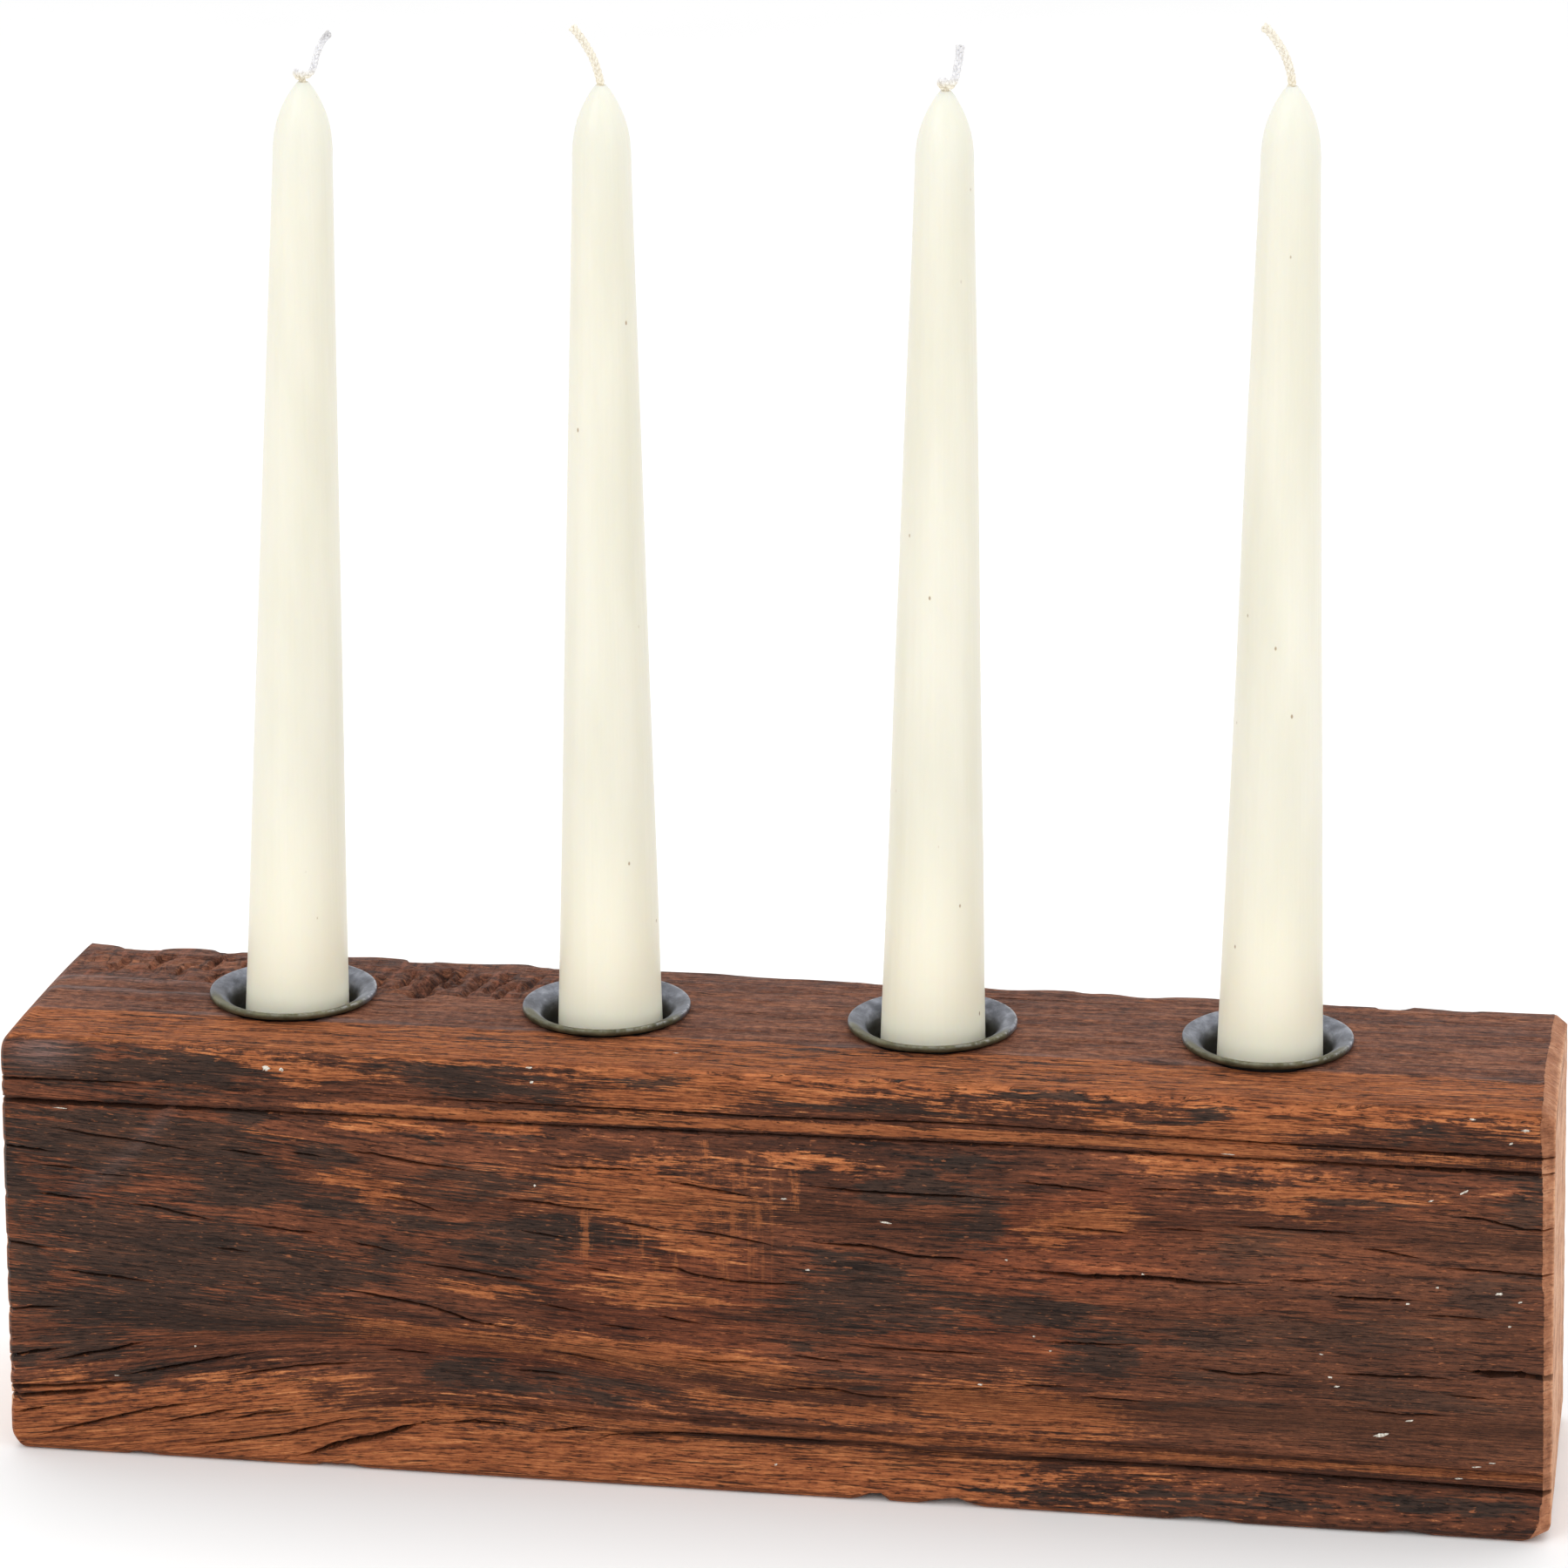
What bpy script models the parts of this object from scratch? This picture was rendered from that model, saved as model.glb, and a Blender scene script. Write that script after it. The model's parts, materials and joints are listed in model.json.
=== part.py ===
"""Reclaimed-beam candle holder: a wood block, four screwed-in metal cups and four taper candles.

Metres, +Z up. X runs along the beam, -Y is its moulded front face. The origin is the centre of
the underside. Each candle and its wick hang from an empty on that candle's own leaning axis.
"""
import math

import bmesh
import bpy

# The beam offcut
BLOCK_LENGTH = 0.334
BLOCK_DEPTH = 0.070
BLOCK_HEIGHT = 0.0965
END_DRAFT = 0.001         # each end is cut this much out of square, longer at the bottom
END_CHAMFER = 0.0022
TOP_EDGE_RADIUS = 0.0035
BACK_EDGE_DROP = 0.0017   # the top is crowned, and falls this far to its back edge
FRONT_EDGE_DROP = 0.0008
CROWN_FRONT = -0.014      # the flat of the crown runs between these depths
CROWN_BACK = -0.003
BOTTOM_EDGE_RADIUS = 0.0015
GROOVES = (               # height up the front face, half width, depth
    (0.0124, 0.0007, 0.0011),
    (0.0166, 0.0006, 0.0007),
    (0.0829, 0.0008, 0.0010),
    (0.0869, 0.0005, 0.0007),
)

# The cups, spaced by hand along the beam
CUP_X = (-0.1096, -0.0397, 0.0317, 0.1038)
RIM_RADIUS = 0.0183
RIM_TOP = BLOCK_HEIGHT + 0.0018
BORE_RADIUS = 0.0135
CUP_WALL = 0.0010
CUP_DEPTH = 0.0405
CUP_FLOOR = RIM_TOP - CUP_DEPTH
CUP_SEGMENTS = 32

# Clearance between neighbours, and the socket drilled for each cup
GAP = 0.0003
SOCKET_RADIUS = BORE_RADIUS + CUP_WALL + GAP
SOCKET_FLOOR = CUP_FLOOR - CUP_WALL - GAP
COUNTERSINK_RADIUS = RIM_RADIUS - 0.0007
COUNTERSINK_DEPTH = 0.0033

# The screw that holds each cup down
SCREW_HEAD_RADIUS = 0.0030
SCREW_HEAD_HEIGHT = 0.0017
SCREW_SHANK_RADIUS = 0.0014
SCREW_LENGTH = 0.0140
SCREW_POINT = 0.0030
SCREW_HOLE_RADIUS = SCREW_SHANK_RADIUS + 0.0004
SCREW_SLOT_WIDTH = 0.0007
SCREW_SLOT_DEPTH = 0.0008
SCREW_SEGMENTS = 16

# The taper candles: offset in the cup's mouth, lean from upright towards +X, and length
CANDLES = (
    (0.00085, math.radians(2.30), 0.2382),
    (0.00085, math.radians(0.42), 0.2387),
    (0.00020, math.radians(0.74), 0.2391),
    (0.00050, math.radians(0.27), 0.2416),
)
CANDLE_SEAT = CUP_FLOOR + GAP + SCREW_HEAD_HEIGHT + 0.0004
CANDLE_BASE_RADIUS = 0.01224
CANDLE_FOOT_BEVEL = 0.0004
CANDLE_TAPER = 0.02725    # radius lost per unit of length
CANDLE_TIP_LENGTH = 0.0144
CANDLE_TIP_LOSS = 0.8     # share of the radius that the tip loses, as the square of its height
CANDLE_TIP_STEPS = 6
CANDLE_SEGMENTS = 24

# The wicks: where each tip ends from its wax tip, and how late it bends
WICK_RADIUS = 0.0009
WICK_TUNNEL_RADIUS = WICK_RADIUS + GAP
WICK_CLEAR = 0.0008       # the wick stands straight this far out of the wax
WICK_TIPS = (
    (0.0062, 0.0106, 0.8),
    (-0.0065, 0.0123, 1.5),
    (0.0031, 0.0097, 0.9),
    (-0.0066, 0.0124, 1.5),
)
WICK_BEND_POINTS = 9


def clear_scene():
    for item in list(bpy.data.objects):
        bpy.data.objects.remove(item, do_unlink=True)


def material(name, colour, roughness, metallic):
    made = bpy.data.materials.new(name)
    made.use_nodes = True
    shader = made.node_tree.nodes["Principled BSDF"]
    shader.inputs["Base Color"].default_value = (*colour, 1.0)
    shader.inputs["Roughness"].default_value = roughness
    shader.inputs["Metallic"].default_value = metallic
    return made


def add_object(name, data, finish=None, parent=None):
    made = bpy.data.objects.new(name, data)
    bpy.context.scene.collection.objects.link(made)
    if finish:
        data.materials.append(finish)
    made.parent = parent
    return made


def mesh_from(name, shape, smooth=True):
    """Closes off a bmesh as a mesh whose faces point out."""
    bmesh.ops.recalc_face_normals(shape, faces=shape.faces)
    mesh = bpy.data.meshes.new(name)
    shape.to_mesh(mesh)
    shape.free()
    if smooth:
        mesh.shade_smooth()
        mesh.set_sharp_from_angle(angle=math.radians(35))
    return mesh


def turned(name, profile, segments, closed=True):
    """Spins (radius, height) points about Z. An open profile starts and ends on the axis."""
    shape = bmesh.new()
    verts = [shape.verts.new((radius, 0, height)) for radius, height in profile]
    pairs = list(zip(verts, verts[1:]))
    if closed:
        pairs.append((verts[-1], verts[0]))
    edges = [shape.edges.new(pair) for pair in pairs]
    bmesh.ops.spin(
        shape, geom=verts + edges, axis=(0, 0, 1), cent=(0, 0, 0),
        angle=math.tau, steps=segments, use_merge=True,
    )
    bmesh.ops.remove_doubles(shape, verts=shape.verts, dist=1e-6)
    return mesh_from(name, shape)


def arc(centre, radius, start, end, steps):
    """Points on a circle, angles in degrees."""
    turn = [math.radians(start + (end - start) * i / steps) for i in range(steps + 1)]
    return [(centre[0] + radius * math.cos(a), centre[1] + radius * math.sin(a)) for a in turn]


def block_outline():
    """The beam's cross-section as (depth, height) points, from the front bottom edge upwards."""
    half = BLOCK_DEPTH / 2
    low, high = BOTTOM_EDGE_RADIUS, TOP_EDGE_RADIUS
    front_top = BLOCK_HEIGHT - FRONT_EDGE_DROP
    back_top = BLOCK_HEIGHT - BACK_EDGE_DROP
    points = arc((low - half, low), low, 270, 180, 2)
    for height, half_width, depth in GROOVES:
        points.append((-half, height - half_width))
        points.append((depth - half, height))
        points.append((-half, height + half_width))
    points += arc((high - half, front_top - high), high, 180, 90, 4)
    points += [(CROWN_FRONT, BLOCK_HEIGHT), (CROWN_BACK, BLOCK_HEIGHT)]
    points += arc((half - high, back_top - high), high, 90, 0, 4)
    points += arc((half - low, low), low, 0, -90, 2)
    return points


def block_mesh():
    outline = block_outline()
    shrink_y = 1 - 2 * END_CHAMFER / BLOCK_DEPTH
    shrink_z = 1 - 2 * END_CHAMFER / BLOCK_HEIGHT
    middle = BLOCK_HEIGHT / 2
    inset = [(y * shrink_y, middle + (z - middle) * shrink_z) for y, z in outline]
    shape = bmesh.new()
    loops = []
    for side in (-1, 1):
        stations = [(BLOCK_LENGTH / 2, inset), (BLOCK_LENGTH / 2 - END_CHAMFER, outline)]
        for reach, points in stations if side < 0 else reversed(stations):
            ring = []
            for y, z in points:
                draft = END_DRAFT * (1 - 2 * z / BLOCK_HEIGHT)
                ring.append(shape.verts.new((side * (reach + draft), y, z)))
            loops.append([shape.edges.new((a, b)) for a, b in zip(ring, ring[1:] + ring[:1])])
    for near, far in zip(loops, loops[1:]):
        bmesh.ops.bridge_loops(shape, edges=near + far)
    bmesh.ops.holes_fill(shape, edges=loops[0] + loops[-1], sides=0)
    return mesh_from("wood_block", shape, smooth=False)


def socket_cutter(index, centre_x):
    """The drilled socket: pilot hole, cup bore and countersink, as one turned solid."""
    pilot_floor = CUP_FLOOR + GAP - SCREW_LENGTH - 2 * GAP
    above = BLOCK_HEIGHT + 0.004
    profile = [
        (0, above),
        (COUNTERSINK_RADIUS, above),
        (COUNTERSINK_RADIUS, BLOCK_HEIGHT + GAP),
        (SOCKET_RADIUS, BLOCK_HEIGHT - COUNTERSINK_DEPTH),
        (SOCKET_RADIUS, SOCKET_FLOOR),
        (SCREW_HOLE_RADIUS, SOCKET_FLOOR),
        (SCREW_HOLE_RADIUS, pilot_floor),
        (0, pilot_floor),
    ]
    name = f"socket_cutter_{index}"
    cutter = add_object(name, turned(name, profile, CUP_SEGMENTS, closed=False))
    cutter.location.x = centre_x
    cutter.display_type = "WIRE"
    cutter.hide_render = True
    return cutter


def wood_block(finish):
    block = add_object("wood_block", block_mesh(), finish)
    for index, centre_x in enumerate(CUP_X, 1):
        cut = block.modifiers.new(f"socket_{index}", "BOOLEAN")
        cut.operation = "DIFFERENCE"
        cut.object = socket_cutter(index, centre_x)


def cup_mesh():
    """A pressed cup: flared lip, straight wall and a floor with a screw hole."""
    wall = BORE_RADIUS + CUP_WALL
    under = CUP_FLOOR - CUP_WALL
    lip = RIM_TOP - 0.0012
    profile = [
        (SCREW_HOLE_RADIUS, CUP_FLOOR),
        (BORE_RADIUS - 0.0012, CUP_FLOOR),
        (BORE_RADIUS, CUP_FLOOR + 0.0012),
        (BORE_RADIUS, RIM_TOP - 0.0046),
        (BORE_RADIUS + 0.0005, RIM_TOP - 0.0031),
        (BORE_RADIUS + 0.0015, RIM_TOP - 0.0018),
        (BORE_RADIUS + 0.0028, RIM_TOP - 0.0007),
        (RIM_RADIUS - 0.0008, RIM_TOP),
        (RIM_RADIUS - 0.0003, RIM_TOP - 0.0001),
        (RIM_RADIUS, RIM_TOP - 0.0004),
        (RIM_RADIUS, lip + 0.0003),
        (RIM_RADIUS - 0.0003, lip),
        (wall + 0.0025, lip - 0.0001),
        (wall + 0.0013, lip - 0.0008),
        (wall + 0.0004, lip - 0.0021),
        (wall, lip - 0.0038),
        (wall, under + 0.0016),
        (wall - 0.0016, under),
        (SCREW_HOLE_RADIUS, under),
    ]
    return turned("candle_cup", profile, CUP_SEGMENTS)


def screw_mesh():
    """A pan-head wood screw, its head's underside at height 0."""
    profile = [
        (0, SCREW_HEAD_HEIGHT),
        (SCREW_HEAD_RADIUS * 0.55, SCREW_HEAD_HEIGHT),
        (SCREW_HEAD_RADIUS * 0.88, SCREW_HEAD_HEIGHT * 0.75),
        (SCREW_HEAD_RADIUS, SCREW_HEAD_HEIGHT * 0.35),
        (SCREW_HEAD_RADIUS, 0),
        (SCREW_SHANK_RADIUS, 0),
        (SCREW_SHANK_RADIUS, SCREW_POINT - SCREW_LENGTH),
        (0, -SCREW_LENGTH),
    ]
    return turned("cup_screw", profile, SCREW_SEGMENTS, closed=False)


def slot_cutter(index, screw):
    """A bar across a screw's head, which cuts its driver slot."""
    bar = bmesh.new()
    bmesh.ops.create_cube(bar, size=1)
    size = (3 * SCREW_HEAD_RADIUS, SCREW_SLOT_WIDTH, 2 * SCREW_SLOT_DEPTH)
    bmesh.ops.scale(bar, vec=size, verts=bar.verts)
    bmesh.ops.translate(bar, vec=(0, 0, SCREW_HEAD_HEIGHT), verts=bar.verts)
    name = f"slot_cutter_{index}"
    cutter = add_object(name, mesh_from(name, bar, smooth=False), parent=screw)
    cutter.display_type = "WIRE"
    cutter.hide_render = True
    return cutter


def candle_mesh(index, length):
    """A tapered wax body with a rounded point, round the tunnel of its wick."""
    shoulder = length - CANDLE_TIP_LENGTH
    shoulder_radius = CANDLE_BASE_RADIUS - CANDLE_TAPER * shoulder
    profile = [(WICK_TUNNEL_RADIUS, 0), (CANDLE_BASE_RADIUS - CANDLE_FOOT_BEVEL, 0)]
    for height in (CANDLE_FOOT_BEVEL, shoulder / 3, shoulder * 2 / 3, shoulder):
        profile.append((CANDLE_BASE_RADIUS - CANDLE_TAPER * height, height))
    for step in range(1, CANDLE_TIP_STEPS):
        part = step / CANDLE_TIP_STEPS
        radius = shoulder_radius * (1 - CANDLE_TIP_LOSS * part ** 2)
        profile.append((radius, shoulder + CANDLE_TIP_LENGTH * part))
    profile.append((WICK_TUNNEL_RADIUS, length))
    return turned(f"candle_{index}", profile, CANDLE_SEGMENTS)


def wick_curve(index, length, tip_x, tip_z, lateness):
    """A round cord up the tunnel, then bent over towards its tip."""
    points = [(0, 0, length * part) for part in (0.001, 0.25, 0.5, 0.75, 0.97)]
    for step in range(WICK_BEND_POINTS):
        part = step / (WICK_BEND_POINTS - 1)
        height = length + WICK_CLEAR + (tip_z - WICK_CLEAR) * part
        points.append((tip_x * part ** lateness, 0, height))
    curve = bpy.data.curves.new(f"wick_{index}", "CURVE")
    curve.dimensions = "3D"
    curve.bevel_depth = WICK_RADIUS
    curve.bevel_resolution = 2
    curve.use_fill_caps = True
    spline = curve.splines.new("POLY")
    spline.points.add(len(points) - 1)
    for point, place in zip(spline.points, points):
        point.co = (*place, 1)
    return curve


def candle_seat(index, centre_x, offset, lean):
    """An empty at the candle's base, with +Z up the candle's own axis."""
    seat = add_object(f"candle_seat_{index}", None)
    drop = BLOCK_HEIGHT - CANDLE_SEAT
    seat.location = (centre_x + offset - drop * math.tan(lean), 0, CANDLE_SEAT)
    seat.rotation_euler = (0, lean, 0)
    return seat


def main():
    clear_scene()
    wood = material("weathered_wood", (0.15, 0.052, 0.027), 0.75, 0.0)
    steel = material("blackened_steel", (0.060, 0.062, 0.064), 0.45, 0.9)
    zinc = material("screw_steel", (0.40, 0.39, 0.36), 0.40, 1.0)
    wax = material("ivory_wax", (0.84, 0.80, 0.62), 0.40, 0.0)
    cotton = material("wick_cotton", (0.80, 0.76, 0.64), 0.85, 0.0)

    wood_block(wood)
    for index, centre_x in enumerate(CUP_X, 1):
        cup = add_object(f"candle_cup_{index}", cup_mesh(), steel)
        cup.location.x = centre_x

        screw = add_object(f"cup_screw_{index}", screw_mesh(), zinc)
        screw.location = (centre_x, 0, CUP_FLOOR + GAP)
        slot = screw.modifiers.new("driver_slot", "BOOLEAN")
        slot.operation = "DIFFERENCE"
        slot.object = slot_cutter(index, screw)

        offset, lean, length = CANDLES[index - 1]
        seat = candle_seat(index, centre_x, offset, lean)
        add_object(f"candle_{index}", candle_mesh(index, length), wax, seat)
        wick = wick_curve(index, length, *WICK_TIPS[index - 1])
        add_object(f"wick_{index}", wick, cotton, seat)


main()
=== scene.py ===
"""Looks of the four-taper candle holder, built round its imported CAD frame.

The detail lists are in millimetres in the frame's axes: x along the beam, z up, -y the moulded front.
"""
import json
import math

import bmesh
import bpy
import numpy as np
from mathutils import Matrix, Quaternion, Vector
from mathutils.bvhtree import BVHTree


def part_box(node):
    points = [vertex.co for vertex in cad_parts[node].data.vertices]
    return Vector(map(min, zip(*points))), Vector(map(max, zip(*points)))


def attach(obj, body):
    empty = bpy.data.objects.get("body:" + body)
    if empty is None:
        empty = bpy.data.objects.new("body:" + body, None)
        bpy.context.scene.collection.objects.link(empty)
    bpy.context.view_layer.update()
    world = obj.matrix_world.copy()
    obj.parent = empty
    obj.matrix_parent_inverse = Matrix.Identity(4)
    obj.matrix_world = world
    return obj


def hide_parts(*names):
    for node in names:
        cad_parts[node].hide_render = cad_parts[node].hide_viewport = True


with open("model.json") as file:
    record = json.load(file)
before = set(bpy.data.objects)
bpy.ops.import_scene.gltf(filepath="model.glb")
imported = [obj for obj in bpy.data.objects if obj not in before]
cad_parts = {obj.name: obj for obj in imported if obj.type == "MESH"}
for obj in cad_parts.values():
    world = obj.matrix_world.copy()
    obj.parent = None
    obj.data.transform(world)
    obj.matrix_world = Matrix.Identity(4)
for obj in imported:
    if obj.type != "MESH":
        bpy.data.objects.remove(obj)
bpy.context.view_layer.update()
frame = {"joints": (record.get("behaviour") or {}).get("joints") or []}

MM = 0.001

# ---------------------------------------------------------------- sizes from the frame, in mm

HALF_LENGTH, HALF_DEPTH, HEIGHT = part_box("wood_block")[1] / MM
CUPS = (1, 2, 3, 4)
cup_boxes = {n: [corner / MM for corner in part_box(f"candle_cup_{n}")] for n in CUPS}
CUP_X = {n: (low.x + high.x) / 2 for n, (low, high) in cup_boxes.items()}
RIM_RADIUS = (cup_boxes[1][1].x - cup_boxes[1][0].x) / 2
RIM_TOP = cup_boxes[1][1].z
CUP_UNDERSIDE = cup_boxes[1][0].z

# ---------------------------------------------------------------- the block's detail, in mm

END_DRAFT = 1.0  # the ends lean in by this much either side of the middle of their height
FRONT_EDGE_DROP, BACK_EDGE_DROP = 0.8, 1.7  # how far the crowned top falls towards its edges
CROWN_FRONT, CROWN_BACK = -14.0, -3.0  # the top is flat between these y
TOP_EDGE_RADIUS, BACK_EDGE_RADIUS, BOTTOM_EDGE_RADIUS = 3.5, 4.0, 2.0
SOCKET_RADIUS, COUNTERSINK_RADIUS, COUNTERSINK_DEPTH = 14.8, 17.6, 3.3
PILOT_RADIUS, PILOT_FLOOR = 1.7, 43.0

# Centre line (x, z), half width and depth of each moulded groove in the front face.
GROOVES = (
    (((-168, 86.8), (-130, 87.1), (0, 86.8), (44, 87.6), (100, 86.9), (168, 86.3)), 0.6, 0.35),
    (((-168, 81.9), (-60, 82.4), (0, 83.1), (60, 83.5), (168, 83.1)), 0.75, 0.75),
    (((-90, 16.3), (-48, 17.0), (0, 16.6), (31, 15.6), (50, 16.6), (100, 16.2), (168, 15.4)), 0.6, 0.7),
    (((-40, 12.6), (0, 13.1), (28, 13.3), (34, 12.3), (110, 12.4), (168, 11.6)), 0.75, 1.0),
)
LAST_GROOVE_ROWS = 13.0  # the mesh is finest at the other grooves' first points and here
BEAD_MIDDLE = 84.9  # height of the low rounded bead between the two upper grooves

# Old splits along the grain on the front face: width at the surface, then points (x, z).
CRACKS = (
    (.30, (-158.6, 76.6), (-146.8, 74.9), (-138, 74.1), (-128, 72.9), (-119.9, 72)),
    (.28, (-118.6, 73.1), (-106.1, 72)),
    (.30, (-103, 73.4), (-94.3, 72.4)),
    (.34, (-93.6, 74.2), (-84, 73.9), (-75.3, 72.4), (-59, 70.8)),
    (.30, (-169.5, 71.7), (-154, 70.4)),
    (.26, (-158.6, 67.3), (-148.6, 66.8)),
    (.26, (-146.8, 65.9), (-138, 65.6)),
    (.30, (-161, 60.9), (-152.4, 60.1), (-144.9, 59.8)),
    (.34, (-140.5, 59.5), (-133, 59), (-126, 57.6), (-118, 56.5)),
    (.32, (-113, 56.2), (-101.8, 55.1), (-94.3, 54.8)),
    (.28, (-89.9, 53.5), (-84, 52.4), (-78.4, 51.4)),
    (.36, (-169.5, 49.6), (-161.8, 48.4), (-155.5, 47.8)),
    (.36, (-155.5, 43.8), (-151.8, 42.8), (-144.3, 42.3), (-133, 41.2)),
    (.26, (-120.5, 50.3), (-111.8, 49.8)),
    (.36, (-97.4, 43.3), (-91, 42.3), (-84, 41.2), (-72, 39.5), (-62.8, 36.5), (-50.3, 34.9)),
    (.28, (-50.3, 73.7), (-41.5, 73.1), (-30.3, 73.4), (-22, 73.2)),
    (.32, (-22, 71.5), (-15.3, 70.6), (-6, 69.3), (0, 68.4)),
    (.36, (-59.6, 65.3), (-47, 64.8), (-41.5, 64), (-34, 63.8), (-27.8, 63.4)),
    (.34, (-31.8, 61.4), (-25.3, 60.6), (-19, 59.2)),
    (.32, (-18.4, 60.6), (-7.8, 59.5), (0, 58.3), (6, 57.2)),
    (.28, (-84, 64.3), (-75.9, 63.6), (-68.4, 60.9)),
    (.26, (-53.4, 58.1), (-40.3, 56.8)),
    (.34, (-77, 49.5), (-62.8, 48.1), (-56.5, 47.1), (-45.3, 46.2)),
    (.26, (-38.4, 50.4), (-32, 49.9)),
    (.38, (-27.8, 52.1), (-18.4, 51.5), (-14.6, 50.1), (-5.3, 49.1), (12.5, 49.3)),
    (.26, (-48.4, 41.5), (-39, 40.3)),
    (.30, (-23.4, 40.6), (-17.8, 39.6), (-12, 38.9)),
    (.26, (-35.3, 37.6), (-24.6, 36.8)),
    (.26, (-45.9, 30.8), (-38.4, 29.8), (-30.9, 28.9)),
    (.28, (-19, 31.2), (-12, 30.4), (-5, 30.8), (0, 31.4)),
    (.26, (-84, 29), (-71, 28.4)),
    (.30, (-55.9, 25.6), (-51.5, 25.9), (-41.5, 25.4)),
    (.30, (53, 75.3), (62.5, 74.9), (73, 74.1), (77, 73.4)),
    (.28, (79, 75.1), (84, 75.3), (90.9, 75.6)),
    (.36, (5, 71.8), (12.5, 71.8), (20.6, 71.3), (33.8, 71.2), (43.8, 71.4), (54.4, 70.8)),
    (.34, (60.6, 65.9), (66.9, 65.4), (75, 65.3), (80.6, 64.8)),
    (.26, (84, 66.5), (96, 66.6)),
    (.40, (7.2, 60.2), (12.5, 59), (23, 59), (27.5, 58.3), (32.5, 57.3), (43.8, 57.3), (50, 56.8)),
    (.62, (51, 56.6), (55, 55.9), (61.3, 55.3), (69.4, 54.9), (84, 55.5), (93.4, 54.9), (108, 55.2)),
    (.26, (37.5, 27.1), (43.8, 27.6), (52.5, 28.1)),
    (.26, (53.3, 28.8), (60, 29.3), (66.9, 29.6)),
    (.26, (67.3, 27.6), (72, 27.3), (84, 27.1)),
    (.30, (0, 24.6), (10.6, 25.7), (15, 25.9), (23, 24.6), (35, 24.6)),
    (.26, (5, 33.4), (11.3, 32.6), (20, 32)),
    (.30, (17.5, 36.5), (26.3, 35.9), (40, 35.9), (52, 36)),
    (.26, (58.8, 39.6), (73.8, 39.8), (81.3, 40.4)),
    (.36, (95.9, 68.1), (105.9, 67.9), (117, 67.9), (124, 67.8), (129, 67.4)),
    (.28, (126, 64.8), (133.4, 64), (140.3, 62.8)),
    (.30, (109.6, 56.4), (114, 56.5), (120.3, 57.1)),
    (.40, (119, 53.8), (124, 53.4), (131.5, 53.5), (140.3, 53.7)),
    (.32, (141.5, 61.2), (150.3, 61.2), (159, 60.9), (169.5, 60.4)),
    (.34, (142.8, 72.9), (151.5, 72.6), (160.3, 70.9), (169.5, 70.6)),
    (.28, (138.4, 50.1), (144.6, 50.6), (155.9, 50.1)),
    (.34, (89.6, 35.9), (102, 34.6), (107, 35.3), (116, 35.1)),
    (.36, (119.6, 36.3), (134, 36.2), (140.3, 36.5), (148.6, 36.4)),
    (.95, (147.8, 38.7), (154, 38.1), (160, 38.5), (169.5, 37.2)),
    (.26, (144.6, 32.9), (155.3, 32.4)),
    (.28, (124, 28.7), (129, 28.1), (136, 27.8), (147.8, 28.3)),
    (.34, (-169.5, 32.6), (-161, 34), (-153.6, 34.4)),
    (.42, (-169.5, 21.4), (-162.4, 23.3), (-154.3, 24.9)),
    (.42, (-158, 21.5), (-149.9, 23.6), (-143, 25.3), (-134.3, 27.9)),
    (.42, (-142.7, 19), (-136.8, 20.3), (-129.3, 22.1), (-121.8, 24), (-111, 26.5)),
    (.32, (-119.9, 19.9), (-108, 22.6), (-101.8, 23.8), (-93, 24.9), (-84, 26)),
    (.44, (-169.5, 14.6), (-155.5, 15.9), (-135.5, 18.3)),
    (.60, (-169.5, 12.2), (-159.9, 13.7), (-150, 14.8), (-144, 16.2)),
    (.34, (-166.8, 8.7), (-158.6, 10.8)),
    (.44, (-163.9, 2.8), (-158.6, 4.6), (-146.4, 8.3), (-135.5, 11.6), (-129.3, 12.9), (-120.5, 14.6)),
    (.34, (-135.5, 7.9), (-128, 9.9), (-113, 13.6)),
    (.34, (-120.5, 9.3), (-111.8, 11.9), (-100.5, 13.7)),
    (.36, (-133, 2.8), (-120.5, 4.6), (-105.5, 7.4), (-93, 11.5), (-84, 14)),
    (.85, (-106, 1.8), (-99.9, 3.4), (-93, 6.2), (-84, 8.7), (-78.4, 10.9), (-71.5, 13.5)),
    (.40, (-70.9, 12.3), (-64, 13.4), (-52.8, 13.1)),
    (.34, (-50.3, 11.8), (-45.3, 12.4), (-37, 14.0)),
    (.50, (-42, 9.3), (-36.5, 10.9), (-32.8, 12.1), (-26.5, 12.4), (-17.8, 13.1), (0, 13.1), (28, 13.3)),
    (.55, (31, 12.3), (110, 12.4), (169.5, 11.6)),
    (.30, (-168, 86.7), (-130, 87.1)),
    (.30, (-126, 87.1), (0, 86.8), (44, 87.6), (100, 86.9), (169.5, 86.3)),
    (.34, (-169.5, 81.7), (-60, 82.1), (0, 82.8), (60, 83.2), (169.5, 82.8)),
)

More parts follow.
